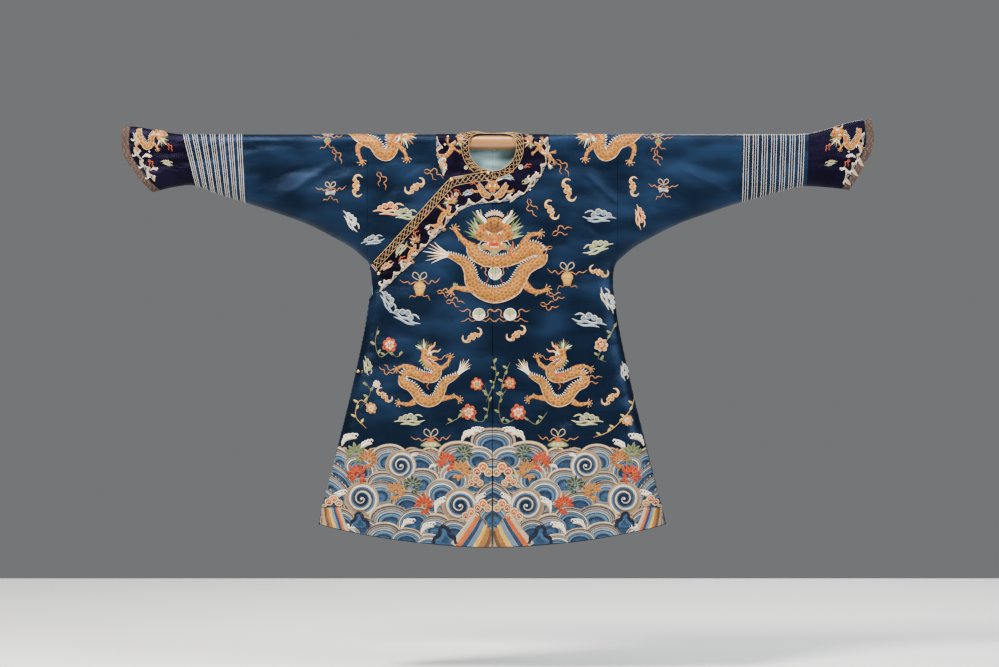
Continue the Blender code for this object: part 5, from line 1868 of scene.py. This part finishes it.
def body_clip(half, back=False):
    """Keeps chart places inside one half's centre, side and hem edges."""
    sign = half * (-1 if back else 1)

    def clip(points):
        out = (points[:, 0] - CHART_X) * SQUARE * sign
        drop = np.maximum((points[:, 1] - CHART_Y) * SQUARE, 0.0)
        low, high = vent_edge(drop) + 0.0006, side_edge(drop) - 0.005
        bottom = hem_drop(np.clip(out / side_x(np.maximum(drop, 0.365)), 0, 1)) - 0.002
        inside = (out > low) & (out < high) & (drop < bottom)
        new_x = CHART_X + np.clip(out, low, high) / SQUARE * sign
        new_y = CHART_Y + np.minimum(drop, bottom) / SQUARE
        return np.stack([new_x, new_y], axis=1), inside

    return clip


# %% The sea on both halves, front and back
for face, back in (("front", False), ("back", True)):
    for side, half in SIDES:
        work = Needlework(f"sea_{face}_{side}", on_body, back, body_clip(half, back))
        sea(work, flip=(half > 0) != back)
        work.make()

# %% [markdown]
# ## Dragons, bats, clouds and flowers
# The places follow the robe in the picture. What it shows to the left of the seam is worked to the
# right of it too, a little changed, as embroiderers do, and the back has the same plan.

# %% Places of the small motifs
# (x, y, size, turn) on the left of the chart, and the same on its right
BATS = [
    (473, 337, 0.92, -28), (356, 186, 0.95, 92), (416, 188, 0.95, -34), (384, 396, 0.80, 40),
    (517, 335, 0.92, -32), (567, 191, 1.00, 70), (550, 211, 0.90, 62), (632, 187, 0.85, 84),
    (598, 273, 0.85, 20), (611, 398, 0.90, -42),
]
BLUE_MIST = ("pale_blue", "sky", "cream")
ROSE_MIST = ("pale_peach", "orange", "cream")
GREEN_MIST = ("pale_green", "sage", "cream")
WHITE_MIST = ("cream", "pale_blue", "white")
CLOUDS = [
    (390, 209, 1.05, 0, False, ROSE_MIST), (405, 214, 0.9, 6, False, GREEN_MIST),
    (352, 221, 0.8, 60, False, WHITE_MIST), (373, 240, 0.75, -8, False, BLUE_MIST),
    (389, 301, 0.85, 64, False, BLUE_MIST), (406, 316, 1.05, 24, False, BLUE_MIST),
    (369, 366, 0.62, 84, False, GREEN_MIST), (410, 419, 0.95, 0, False, GREEN_MIST),
    (599, 216, 1.05, 0, True, BLUE_MIST), (640, 217, 0.8, 84, False, ROSE_MIST),
    (597, 247, 1.0, 20, True, GREEN_MIST), (608, 300, 0.9, -62, True, WHITE_MIST),
    (589, 320, 1.1, -8, True, BLUE_MIST), (624, 371, 0.62, 84, False, WHITE_MIST),
    (587, 419, 1.0, 0, True, GREEN_MIST),
]
RIBBONS = [
    (424, 171, 1.0, 24, False), (378, 172, 0.95, 70, False), (528, 199, 0.95, 118, True),
    (556, 160, 1.0, 56, False), (552, 235, 1.0, -16, False), (396, 372, 0.85, 200, False),
    (584, 384, 0.9, -20, False), (552, 247, 0.75, 30, True), (333, 150, 0.8, 60, False),
    (655, 150, 0.8, 110, True), (437, 292, 0.8, 14, False), (446, 302, 0.9, 8, False),
    (548, 294, 0.8, 170, True), (540, 304, 0.9, 176, True),
]
EMBLEMS = [
    (420, 287, 1.15, "gourd", False), (431, 443, 1.15, "fan", False), (331, 193, 0.85, "scroll", False),
    (328, 141, 0.85, "leaves", False), (567, 277, 1.15, "gourd", True), (558, 443, 1.15, "fan", True),
    (663, 190, 0.85, "scroll", True), (658, 142, 0.85, "leaves", True),
]
FLOWERS = [
    (390, 345, 1.05, ("red", "orange", "cream")), (469, 412, 1.15, ("red", "orange", "cream")),
    (477, 384, 0.95, ("orange", "red", "pale_green")), (372, 408, 0.8, ("orange", "yellow", "cream")),
    (601, 345, 1.0, ("peach", "cream", "red")), (518, 412, 1.15, ("red", "orange", "cream")),
    (510, 383, 0.90, ("orange", "red", "pale_green")), (627, 420, 0.8, ("orange", "yellow", "cream")),
    (377, 384, 0.55, ("cream", "white", "pale_peach")),
]
STEMS = [
    ("393 349, 381 357, 376 344, 379 326", "green", 4), ("391 350, 397 357, 404 352", "olive", 2),
    ("469 417, 483 421, 489 402, 484 384", "olive", 5), ("486 402, 496 376, 492 356", "green", 6),
    ("470 408, 458 418, 446 424", "green", 3), ("600 349, 609 336, 616 322", "green", 4),
    ("601 350, 598 358, 606 362", "olive", 2), ("518 417, 503 423, 499 404, 508 386", "olive", 5),
    ("500 402, 503 380, 510 362", "green", 5), ("522 414, 536 424, 548 411", "green", 3),
    ("376 412, 362 400, 357 416, 367 428", "yellow", 6),
    ("593 437, 610 430, 628 412, 634 396", "yellow", 7), ("365 380, 371 392, 362 408", "olive", 4),
]


def body_motifs(work, chest, side_x, side_y, pearl_x, shoulders=(), ribbons=RIBBONS, bat_drop=0, bat_flip=1):
    """One face of the robe: its great dragon at chest, two dragons at its sides, and the small motifs."""
    full_face_dragon(work, *chest)
    side_dragon(work, side_x[0], side_y)
    side_dragon(work, side_x[1], side_y, flip=True)
    for x, flip in shoulders:
        shoulder_dragon(work, x, flip)
    for x, y, size, angle in BATS:
        bat(work, x, y + bat_drop, size, angle * bat_flip)
    for place in CLOUDS:
        cloud(work, *place)
    for place in ribbons:
        ribbon(work, *place)
    for place in EMBLEMS:
        emblem(work, *place)
    for place in FLOWERS:
        flower(work, *place)
    for path, colour, leaves in STEMS:
        stem(work, path, colour, leaves)
    pearl(work, pearl_x[0], 314.5, 6.2)
    pearl(work, pearl_x[1], 314.5, 6.2, True, True)


# %% Body, front and back
front_work = Needlework("motifs_front", on_body)
body_motifs(front_work, (494.5, 242.5), (560.0, 427.5), 382.0, (479.0, 510.0), ((394, False), (598, True)))
front_work.make()

back_work = Needlework("motifs_back", on_body, back=True)
body_motifs(back_work, (492.5, 236.0, 1.05), (561.0, 424.0), 378.0, (476.0, 509.0), (), RIBBONS[4:], 3, -1)
back_work.make()

# %% [markdown]
# ## Collar, overlap band and cuffs
# The dark satin of the collar has one small full-face dragon under the neck, dragons in profile at
# the sides, pearls and flames, and cream wave tips along its outer edge. Each cuff has a dragon on
# its top and waves along the brocade.

# %% Collar needlework


def wave_tip(work, x, y, length, angle, size=1.0, flip=False):
    """A long wing of cream water lying along the collar's edge, with a curled crest."""
    work.at(x, y, size, angle, flip)
    work.fill(
        [(0, 0), (length * 0.3, -3.4), (length * 0.62, -4.2), (length, 0), (length * 0.5, 0.6)], "sand",
        "cream", 0.8, level=0.9,
    )
    work.band(
        [(length * 0.12, -1.0), (length * 0.45, -2.2), (length * 0.8, -1.4)], [0.3, 0.9, 0.3],
        "mid_blue pale_blue", 0.5, level=2.0,
    )
    work.band(
        [(length * 0.30, -2.6), (length * 0.24, -6.2), (length * 0.34, -8.6), (length * 0.48, -7.6)],
        [1.5, 1.2, 0.9, 0.4], "sand white cream", 0.8, level=1.6, step=1.2,
    )


def edge_waves(work, path, spacing=12.5, high=7.0):
    """A row of leaning waves standing on a path, their tops to its left."""
    path = drawn(path)
    count = max(2, round(distances(path)[-1] / spacing))
    line = smooth_path(path, count + 1)
    for n, ((ax, ay), (bx, by)) in enumerate(zip(line[:-1], line[1:])):
        work.at(
            (ax + bx) / 2, (ay + by) / 2, 1.0, math.degrees(math.atan2(by - ay, bx - ax)),
            floor=0.12 * (n % 3),
        )
        half, top = spacing * 0.60, high * (1.0 - 0.2 * (n % 3))
        wave = "-1 0, -0.45 -0.22, 0.1 -0.55, 0.5 -1, 0.62 -0.66, 0.86 -0.3, 1 0"
        for share, inside, rim in ((1.0, "tan", "cream"), (0.70, "navy", "blue"), (0.36, "sky", "pale_blue")):
            crest = drawn(wave) * [half * share, top * share]
            work.fill(crest, inside, rim, 0.5, level=1.2 - 0.8 * share, smooth=18)


def small_dragon(work, x, y, size, angle, flip=False):
    """A thin dragon in profile, for narrow places."""
    work.at(x, y, size, angle, flip)
    hairs(work, -19.0, 9.0, 150, 60, 8, 5, "cream white", 0.2, 0.7)
    path = "11 -7, 7 -1, 0 1.4, -5 6.4, -9 12, -15 11.6, -19.5 9"
    work.band(
        path, [2.0, 2.6, 3.0, 3.1, 2.8, 2.0, 0.8], "cream peach gold gold gold_deep", 1.0, SCALED, "scales",
        0.6, 1.4,
    )
    work.spikes(drawn(path) + [1.4, 1.6], 1.9, 1.9, 0.5, 1, level=1.0)
    for route, angle_foot in (
        ("6 1, 10.5 4.5, 15 4", 0), ("4 -2, 0 -6, -3 -10", -110), ("-6 9, -4.5 15, -4 19", 90),
        ("-9 11, -14 16, -19 17", 160),
    ):
        leg(work, route, [1.9, 1.4, 1.1], angle_foot, 0.55)
    work.at(*work.chart([(14.0, -12.5)])[0], size * 0.62, angle - 30, flip)
    profile_head(work, 2.0)


# The outer edge of the facing: the long one from overlap to neck, the one over the right shoulder,
# and the one behind
OUTER_EDGE = (
    "381.5 291.5, 392.6 281.4, 408.4 263.6, 425.8 246.4, 442.6 229.6, 451.6 218, 457.2 212.6, "
    "463.4 208.8, 471.4 205.4, 482 203.4, 492.5 203, 510 200.8, 526 192.8, 538 180.6, "
    "545.8 165.2, 548.4 148, 548 139"
)
SHOULDER_EDGE = "436.8 138, 436.6 150, 439 164, 443 175"
BACK_EDGE = "441 144, 446.6 152, 457.5 158.6, 469 162, 492.5 162.8, 516 162, 527.5 158.6, 538.4 152, 544 144"
collar = Needlework("collar_needlework", on_facing)
edge_waves(collar, OUTER_EDGE)
edge_waves(collar, SHOULDER_EDGE)
turned_head(collar, 492.5, 186.0, 0.42, 0)
collar.at(492.5, 186.0, 0.62)
for side in (-1, 1):
    collar.at(492.5, 186.0, 0.62, 0, side < 0)
    hairs(collar, 8, -8, -52, 70, 13, 6, "green pale_green white", 0.6, 1.0)
    dragon_body(collar, "3 18, 13 14, 19 5, 24 -2", [3.0, 4.6, 4.0, 2.6], 1, -1, 0.6)
    leg(collar, "18 8, 27 10, 32 8", [2.8, 2.0, 1.5], 0, 0.7)
for x, y, size, angle, flip in (
    (452, 151, 0.74, -84, True), (540, 151, 0.74, -96, False), (443, 214, 0.80, -16, False),
    (411, 251, 0.60, -24, False),
):
    small_dragon(collar, x, y, size, angle, flip)
for x, y, radius in ((456.4, 195.0, 2.2), (466.0, 168.0, 2.2), (520.6, 167.5, 2.3)):
    pearl(collar, x, y, radius, False)
for x, y, size, angle, flip in (
    (454, 190, 0.42, 40, False), (469, 170, 0.36, -20, False), (514, 172, 0.40, 190, False),
    (524, 168, 0.40, -20, False), (470, 184, 0.50, -4, False), (428, 210, 0.42, 110, False),
    (414, 236, 0.5, -60, False), (399, 262, 0.42, -36, False),
):
    ribbon(collar, x, y, size, angle, flip, "orange")
for x, y, size, angle, flip, tints in (
    (508, 177, 0.46, -20, True, BLUE_MIST), (468, 193, 0.44, -16, False, BLUE_MIST),
    (401, 249, 0.62, -52, False, GREEN_MIST), (387, 266, 0.50, -30, False, ROSE_MIST),
    (527, 181, 0.40, 30, True, GREEN_MIST),
):
    cloud(collar, x, y, size, angle, flip, tints)
for x, y, length, angle, size, flip in (
    (510, 203, 22, -40, 0.75, False), (530, 185, 20, -54, 0.75, False), (456, 213, 20, -30, 0.65, False),
    (438, 158, 20, 62, 0.7, False), (430, 239, 20, -48, 0.65, False), (402, 272, 22, -42, 0.65, False),
    (382, 290, 20, -48, 0.7, False), (546, 158, 18, -72, 0.7, False),
):
    wave_tip(collar, x, y, length, angle, size, flip)
dots(collar, "445 145, 442 160, 540 142, 510 192, 469 200, 416 253, 530 190, 448 137, 536 173", 0.95, "white")
collar.make()

collar_back = Needlework("collar_back_needlework", on_facing, back=True)
edge_waves(collar_back, BACK_EDGE)
for x, y, size, angle, flip in ((472, 150, 0.60, 4, False), (513, 150, 0.60, -4, True)):
    small_dragon(collar_back, x, y, size, angle, flip)
pearl(collar_back, 492.5, 150, 2.6, False)
for x, y, length, angle, flip in (
    (462, 166, 22, -6, False), (486, 168, 22, 0, False), (508, 168, 22, 8, False),
):
    wave_tip(collar_back, x, y, length, angle, 0.6, flip)
for x, y in ((482, 146), (504, 146), (492.5, 160)):
    dots(collar_back, [(x, y)], 0.9, "white")
collar_back.make()

# %% Cuff needlework


def cuff_motifs(work, flip=False, shift=0.0):
    """The cuff as it lies on the left of the chart; it is turned over for the other one."""
    turn = (lambda x: 2 * CHART_X - x + shift) if flip else (lambda x: x + shift)
    edge = [
        (turn(134.0), 134.0), (turn(135.8), 146.0), (turn(139.8), 159.0), (turn(146.4), 171.0),
        (turn(154.0), 180.5),
    ]
    edge_waves(work, edge[::-1] if flip else edge, 10.5, 6.0)
    work.at(turn(148), 141, 0.62, 0, flip)
    path = "-14 -20, -13 -8, -7 2, -1 10, 6 6, 7 -4, 12 -14"
    dragon_body(work, path, [3.0, 3.8, 4.2, 4.4, 4.4, 4.0, 3.2], 1, -1, 0.6)
    leg(work, "-11 2, -17 7, -18 12", [2.8, 2.0, 1.6], 90, 0.8)
    leg(work, "8 4, 14 8, 17 14", [2.8, 2.0, 1.6], 60, 0.8)
    hairs(work, 20.0, -6.0, 56, 96, 16, 8, "green pale_green peach white", 0.4, 1.0)
    turned_head(work, turn(160), 133, 0.42, 70 if flip else -70)
    for x, y, size, angle in ((149, 160, 0.45, 60), (168, 144, 0.45, 60)):
        ribbon(work, turn(x), y, size, angle, flip, "orange")
    cloud(work, turn(168), 163, 0.42, 20, flip, GREEN_MIST)
    for x, y, angle, length in (
        (137.5, 143, 86, 16), (139.5, 157, 66, 17), (146, 168, 58, 16), (152.5, 178, 54, 13),
    ):
        wave_tip(work, turn(x), y, length, -angle + 180 if flip else angle + 180, 0.62, flip)
    for x, y, size in ((149, 157, 0.50), (156, 170, 0.40)):
        foam(work, turn(x), y, size, flip, 0.0, 30)
    dots(work, [(turn(144.5), 146.0 + 0.5), (turn(158), 168.5), (turn(150), 152)], 0.8, "white")


for side, flip, shift in (("right", False, 0.0), ("left", True, 13.0)):
    for face, back in (("front", False), ("back", True)):
        work = Needlework(f"cuff_needlework_{side}_{face}", on_body, back)
        cuff_motifs(work, flip != back, -shift if back else shift)
        work.make()

# %% [markdown]
# ## Fret braid
# The braid round the neck and along the overlap is a ribbon of black and gold. Its pattern is a
# running fret: short gold cords that turn at right angles, set slantwise. One unit is drawn once and
# repeated along the braid's two edges, and a plain gold cord closes each edge.

# %% Fret braid
BRAID_TOP = CLOTH + FACING + TRIM + 3 * SEAM_GAP
FRET_UNITS = [
    "0 -0.8, 0.44 0.2, 0.26 0.52", "0.94 0.8, 0.5 -0.2, 0.68 -0.52", "0.14 0.8, 0 0.46",
    "0.8 -0.8, 0.94 -0.46",
]
FRET_LENGTH = 0.0150
FRET_CORD_RADIUS = 0.00085
GOLD_THREAD = (0.42, 0.28, 0.095)


def braid_edges(x, v):
    """The two long edges of a braid's grid, as dense places along it."""
    near = smooth_path(np.stack([x[:, 0], v[:, 0]], 1), 160)
    far = smooth_path(np.stack([x[:, -1], v[:, -1]], 1), 160)
    return near, far


def fret_paths(near, far, extra):
    """Cords of the fret between two edges; extra gives how far the braid's bed is lifted."""
    middle = (near + far) / 2
    length = distances(middle)
    count = max(2, int(length[-1] / FRET_LENGTH))
    paths = []

    def spot(s, t):
        a = np.stack([np.interp(s, length, near[:, k]) for k in (0, 1)], -1)
        b = np.stack([np.interp(s, length, far[:, k]) for k in (0, 1)], -1)
        return a + (b - a) * ((t + 1) / 2)[..., None]

    for n in range(count):
        for unit in FRET_UNITS:
            path = drawn(unit)
            steps = np.linspace(0, len(path) - 1, 3 * len(path))
            fine = np.stack([np.interp(steps, np.arange(len(path)), column) for column in path.T], 1)
            s = (n + fine[:, 0]) * length[-1] / count
            places = spot(s, fine[:, 1] * 0.86)
            paths.append(on_cloth(places[:, 0], places[:, 1], BRAID_TOP + extra(places) + 0.0004))
    for side in (-0.93, 0.93):
        s = np.linspace(0, length[-1], 150)
        places = spot(s, np.full(150, side))
        paths.append(on_cloth(places[:, 0], places[:, 1], BRAID_TOP + extra(places) + 0.0004))
    return paths


def lay_braid(name, x, v, extra):
    paths = fret_paths(*braid_edges(x, v), extra)
    shades = [tuple(c * f for c in GOLD_THREAD) for f in rng.uniform(0.75, 1.15, len(paths))]
    pieces[name] = lay_cords(name, paths, shades, FRET_CORD_RADIUS)


for side, half in SIDES:
    x, v = yoke_places(NECK_RADIUS + TRIM_WIDTH, -ARC / 2, half, 9)
    lay_braid(
        f"braid_fret_{side}", x * half, v, lambda p,
        half=half: right_yoke_lift(p[:, 0], p[:, 1]) if half < 0 else 0.0 * p[:, 0],
    )
strip_x, strip_v = lapel_x[:8], lapel_v[:8]
lay_braid("braid_fret_lapel", -strip_x.T, strip_v.T, lambda p: overlap_lift(p[:, 0]))

# %% [markdown]
# ## Seams, edges and fastenings
# A dark line of stitching runs down the centre seam. The overlap closes with knot buttons of gilt
# brass in loops of cord. The robe hangs on a plain turned rod with its ends just rounded.

# %% Seams
SEAM_THREAD = (0.0008, 0.0012, 0.0032)
SEAM_RADIUS = 0.0010


def seam_line(name, face):
    v = face * np.linspace(ARC + 0.16 if face > 0 else ARC, ARC + HEM_DROP - 0.004, 260)
    lift = np.where(v > ARC + 0.24, 0.0024, 0.0020) if face > 0 else np.full(260, 0.0024)
    stop = VENT_TOP + ARC if face > 0 else ARC + HEM_DROP
    keep = np.abs(v) < stop
    line = on_cloth(0.0 * v[keep], v[keep], lift[keep])
    pieces[name] = lay_cords(name, [line], [SEAM_THREAD], SEAM_RADIUS, SEAM_CORD, 6)


seam_line("centre_seam_front", 1)
seam_line("centre_seam_back", -1)

# %% Buttons and loops
BUTTONS = ("neck", "collar", "underarm", "side")
# Each loop's ends on the right half: (out from the centre, drop)
LOOPS = {
    "collar": ((0.1070, 0.1028), (0.0820, 0.0985)), "underarm": ((0.3220, 0.3620), (0.3340, 0.3440)),
    "side": ((0.3665, 0.6470), (0.3400, 0.6450)),
}
LOOP_HALF_WIDTH = 0.0019
LOOP_CORD_RADIUS = 0.0013
SILK_CORD = (0.30, 0.195, 0.095)


def brass():
    s = Shader("gilt_brass")
    place = s.place()
    tarnish = s.noise(90.0, 5.0, place)
    dents = s.noise(700.0, 3.0, place)
    s.bump(s.math("MULTIPLY_ADD", tarnish, 0.5, dents), 0.0003, 0.6)
    colour = s.mix(s.math("MULTIPLY_ADD", tarnish, 1.8, -0.5), (0.80, 0.52, 0.20), (0.30, 0.17, 0.07))
    return s.finish(colour, s.math("MULTIPLY_ADD", tarnish, 0.30, 0.22), metallic=0.95)


def turned_wood():
    s = Shader("polished_beech")
    place = s.add("ShaderNodeMapping", {"Vector": s.place(), "Scale": (1.2, 26.0, 26.0)}).outputs[0]
    grain = s.noise(2.2, 6.0, place, 0.6)
    pores = s.noise(14.0, 4.0, place, 0.7)
    colour = s.mix(s.math("MULTIPLY_ADD", grain, 1.7, -0.35), (0.150, 0.058, 0.015), (0.300, 0.135, 0.038))
    colour = s.mix(
        s.math("MULTIPLY_ADD", s.math("GREATER_THAN", pores, 0.62), 0.35, 0.0), colour,
        (0.070, 0.026, 0.008),
    )
    s.bump(pores, 0.00015, 0.5)
    return s.finish(colour, s.math("MULTIPLY_ADD", grain, 0.15, 0.22), coat_weight=0.25, coat_roughness=0.15)


BRASS, WOOD = brass(), turned_wood()


def knot_ball(name, middle, radius):
    """A button wound from cord: a ball with two sets of rounded ribs crossing over it."""
    around, columns = 29, 48
    up = np.linspace(0, math.pi, around)[:, None]
    round_ = np.linspace(0, 2 * math.pi, columns, endpoint=False)[None, :]
    ribs = np.maximum(np.abs(np.sin(3 * round_ + 2.4 * up)), np.abs(np.sin(3 * round_ - 2.4 * up)))
    reach = radius * (0.955 + 0.05 * ribs**0.6 * np.sin(up))
    width, height = reach * np.sin(up), -reach * np.cos(up) + 0 * round_
    ball = np.stack([width * np.cos(round_), height, width * np.sin(round_)], -1)
    points = ball.reshape(-1, 3) + middle
    return close_poles(name, points, turn_out(points, grid_quads(around, columns, True), middle), columns)


def close_poles(name, points, quads, columns):
    """The ball with its first and last rings merged into one point each."""
    keep = np.arange(len(points))
    keep[:columns] = 0
    keep[-columns:] = len(points) - 1
    quads = keep[quads]
    flat = (quads == np.roll(quads, 1, axis=1)).any(axis=1)
    triangles = [list(dict.fromkeys(face)) for face in quads[flat].tolist()]
    used, index = np.unique(np.concatenate([quads[~flat].ravel(), np.ravel(triangles)]), return_inverse=True)
    first = 4 * (~flat).sum()
    return make_mesh(
        name, points[used], index[:first].reshape(-1, 4), index[first:].reshape(-1, 3), materials=(BRASS,),
    )


for name in BUTTONS:
    low, high = (np.array(corner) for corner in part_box(f"button_{name}"))
    pieces[f"knot_button_{name}"] = knot_ball(
        f"knot_button_{name}", (low + high) / 2, float((high - low)[0]) / 2,
    )

for name, (near, far) in LOOPS.items():
    run = np.linspace(0, 1, 14)
    ahead = np.array([far[0] - near[0], far[1] - near[1]])
    aside = np.array([-ahead[1], ahead[0]]) / np.linalg.norm(ahead) * LOOP_HALF_WIDTH
    there = np.array(near) + ahead * run[:, None] + aside
    back = np.array(near) + ahead * run[::-1, None] - aside
    tie = smooth_path(np.vstack([there, np.array(far) + ahead * 0.03, back]), 40)
    low, high = (np.array(corner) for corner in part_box(f"loop_{name}"))
    base = BRAID_TOP if name != "side" else CLOTH
    line = on_cloth(-tie[:, 0], tie[:, 1] + ARC, base + overlap_lift(tie[:, 0]) * (name != "side") + 0.0011)
    line[:, 1] = np.clip(line[:, 1], low[1] - 0.002, high[1])
    pieces[f"cord_loop_{name}"] = lay_cords(
        f"cord_loop_{name}", [line], [SILK_CORD], LOOP_CORD_RADIUS, sides=8,
    )

# %% Rod
ROD_ROUND = 0.003


def rod():
    half = ROD_LENGTH / 2 - 0.0002
    turn = np.linspace(0, math.pi / 2, 7)
    radius = ROD_RADIUS - 0.0002
    profile = [
        (half - ROD_ROUND + ROD_ROUND * math.sin(a), radius - ROD_ROUND + ROD_ROUND * math.cos(a))
        for a in turn
    ]
    ends = np.array(profile)
    line = np.vstack([[-half, 0.0002], np.c_[-ends[::-1, 0], ends[::-1, 1]], ends, [half, 0.0002]])
    angle = np.linspace(0, 2 * math.pi, 64, endpoint=False)
    ring_y, ring_z = (np.outer(line[:, 1], turn(angle)).ravel() for turn in (np.cos, np.sin))
    points = np.stack([np.repeat(line[:, 0], 64), ring_y, ring_z], 1)
    quads = turn_out(points, grid_quads(len(line), 64, True))
    return make_mesh("hanging_rod", points, quads, materials=(WOOD,))


pieces["hanging_rod"] = rod()
print("pieces:", len(pieces))

# %% [markdown]
# ## Floor and light
# A pale floor and backdrop and soft lamps, as in a plain studio.

# %% Stage
stage_shader = Shader("studio_paper")
paper = stage_shader.finish((0.72, 0.72, 0.71), 0.9)
points = [(-14, -12, -1.5), (14, -12, -1.5), (14, 3.5, -1.5), (-14, 3.5, -1.5)]
floor = make_mesh("floor", points, [(0, 1, 2, 3)], materials=(paper,))

world = bpy.data.worlds.new("studio")
world.use_nodes = True
world.node_tree.nodes["Background"].inputs["Color"].default_value = (0.80, 0.82, 0.85, 1.0)
world.node_tree.nodes["Background"].inputs["Strength"].default_value = 0.22
bpy.context.scene.world = world


def lamp(name, place, target, size, watts, tint=(1.0, 1.0, 1.0)):
    data = bpy.data.lights.new(name, "AREA")
    data.shape = "DISK"
    data.size = size
    data.energy = watts
    data.color = tint
    thing = bpy.data.objects.new(name, data)
    thing.location = place
    thing.rotation_euler = (Vector(target) - Vector(place)).to_track_quat("-Z", "Y").to_euler()
    bpy.context.scene.collection.objects.link(thing)


lamp("key", (-2.5, -2.7, 3.0), (0, 0, -0.5), 1.3, 900, (1.0, 0.97, 0.93))
lamp("fill", (3.4, -3.0, 1.4), (0, 0, -0.5), 2.0, 360, (0.9, 0.95, 1.0))
lamp("top", (0.0, -0.8, 3.0), (0, 0, -0.4), 1.5, 120)
lamp("back", (1.8, 3.6, 1.8), (0, 0, -0.5), 2.5, 150)

# %% [markdown]
# ## What each piece stands for
# Every piece rides on the one body, and the solids it stands for are hidden.

# %% Pieces and their solids
# Each sheet: its piece, the solid it stands for, its finish, the width and length it was cut to, and how
# the names of what is sewn to it begin
SHEETS = [
    (
        "robe_left_half", "left_half", "blue_silk", 0.50, 2.35,
        "sea_front_left sea_back_left motifs_back centre_seam",
    ),
    ("robe_right_half", "right_half", "blue_silk", 0.50, 2.30, "sea_back_right"),
    (
        "robe_front_overlap", "front_overlap", "blue_silk", 0.50, 1.07,
        "sea_front_right motifs_front knot_button_underarm knot_button_side cord_loop",
    ),
    ("collar_satin_left", "collar_facing_left", "navy_satin", 0.17, 0.30, "collar_back_needlework"),
    ("collar_satin_right", "collar_facing_right", "navy_satin", 0.17, 0.21, ""),
    ("collar_satin_lapel", "collar_facing_lapel", "navy_satin", 0.11, 0.52, "collar_needlework"),
    ("collar_braid_left", "collar_trim_left", "gold_fret_braid", 0.09, 0.13, "braid_fret_left"),
    ("collar_braid_right", "collar_trim_right", "gold_fret_braid", 0.09, 0.11, "braid_fret_right"),
    (
        "collar_braid_lapel", "collar_trim_lapel", "gold_fret_braid", 0.04, 0.47,
        "braid_fret_lapel knot_button_neck knot_button_collar",
    ),
    ("back_lining_left", "lining_back_left", "pale_blue_lining", 0.40, 1.10, ""),
    ("back_lining_right", "lining_back_right", "pale_blue_lining", 0.40, 1.10, ""),
    ("upper_sleeve_left", "sleeve_left", "blue_silk", 0.36, 0.74, ""),
    ("upper_sleeve_right", "sleeve_right", "blue_silk", 0.36, 0.74, ""),
    ("striped_band_left", "sleeve_band_left", "striped_band", 0.19, 0.42, "sleeve_lines_left"),
    ("striped_band_right", "sleeve_band_right", "striped_band", 0.18, 0.42, "sleeve_lines_right"),
    ("hoof_cuff_left", "cuff_left", "navy_satin", 0.17, 0.42, "cuff_needlework_left"),
    ("hoof_cuff_right", "cuff_right", "navy_satin", 0.16, 0.40, "cuff_needlework_right"),
    ("cuff_brocade_left", "cuff_edge_left", "brown_brocade", 0.03, 0.43, ""),
    ("cuff_brocade_right", "cuff_edge_right", "brown_brocade", 0.03, 0.42, ""),
]
HARD_PIECES = [("hanging_rod", "rod", "polished_rod")]
HARD_PIECES += [(f"knot_button_{n}", f"button_{n}", "gilt_button") for n in BUTTONS]
HARD_PIECES += [(f"cord_loop_{n}", f"loop_{n}", "loop_cord") for n in LOOPS]
for piece in pieces.values():
    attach(piece, "root")
for name, node, finish in HARD_PIECES + [sheet[:3] for sheet in SHEETS]:
    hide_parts(node)
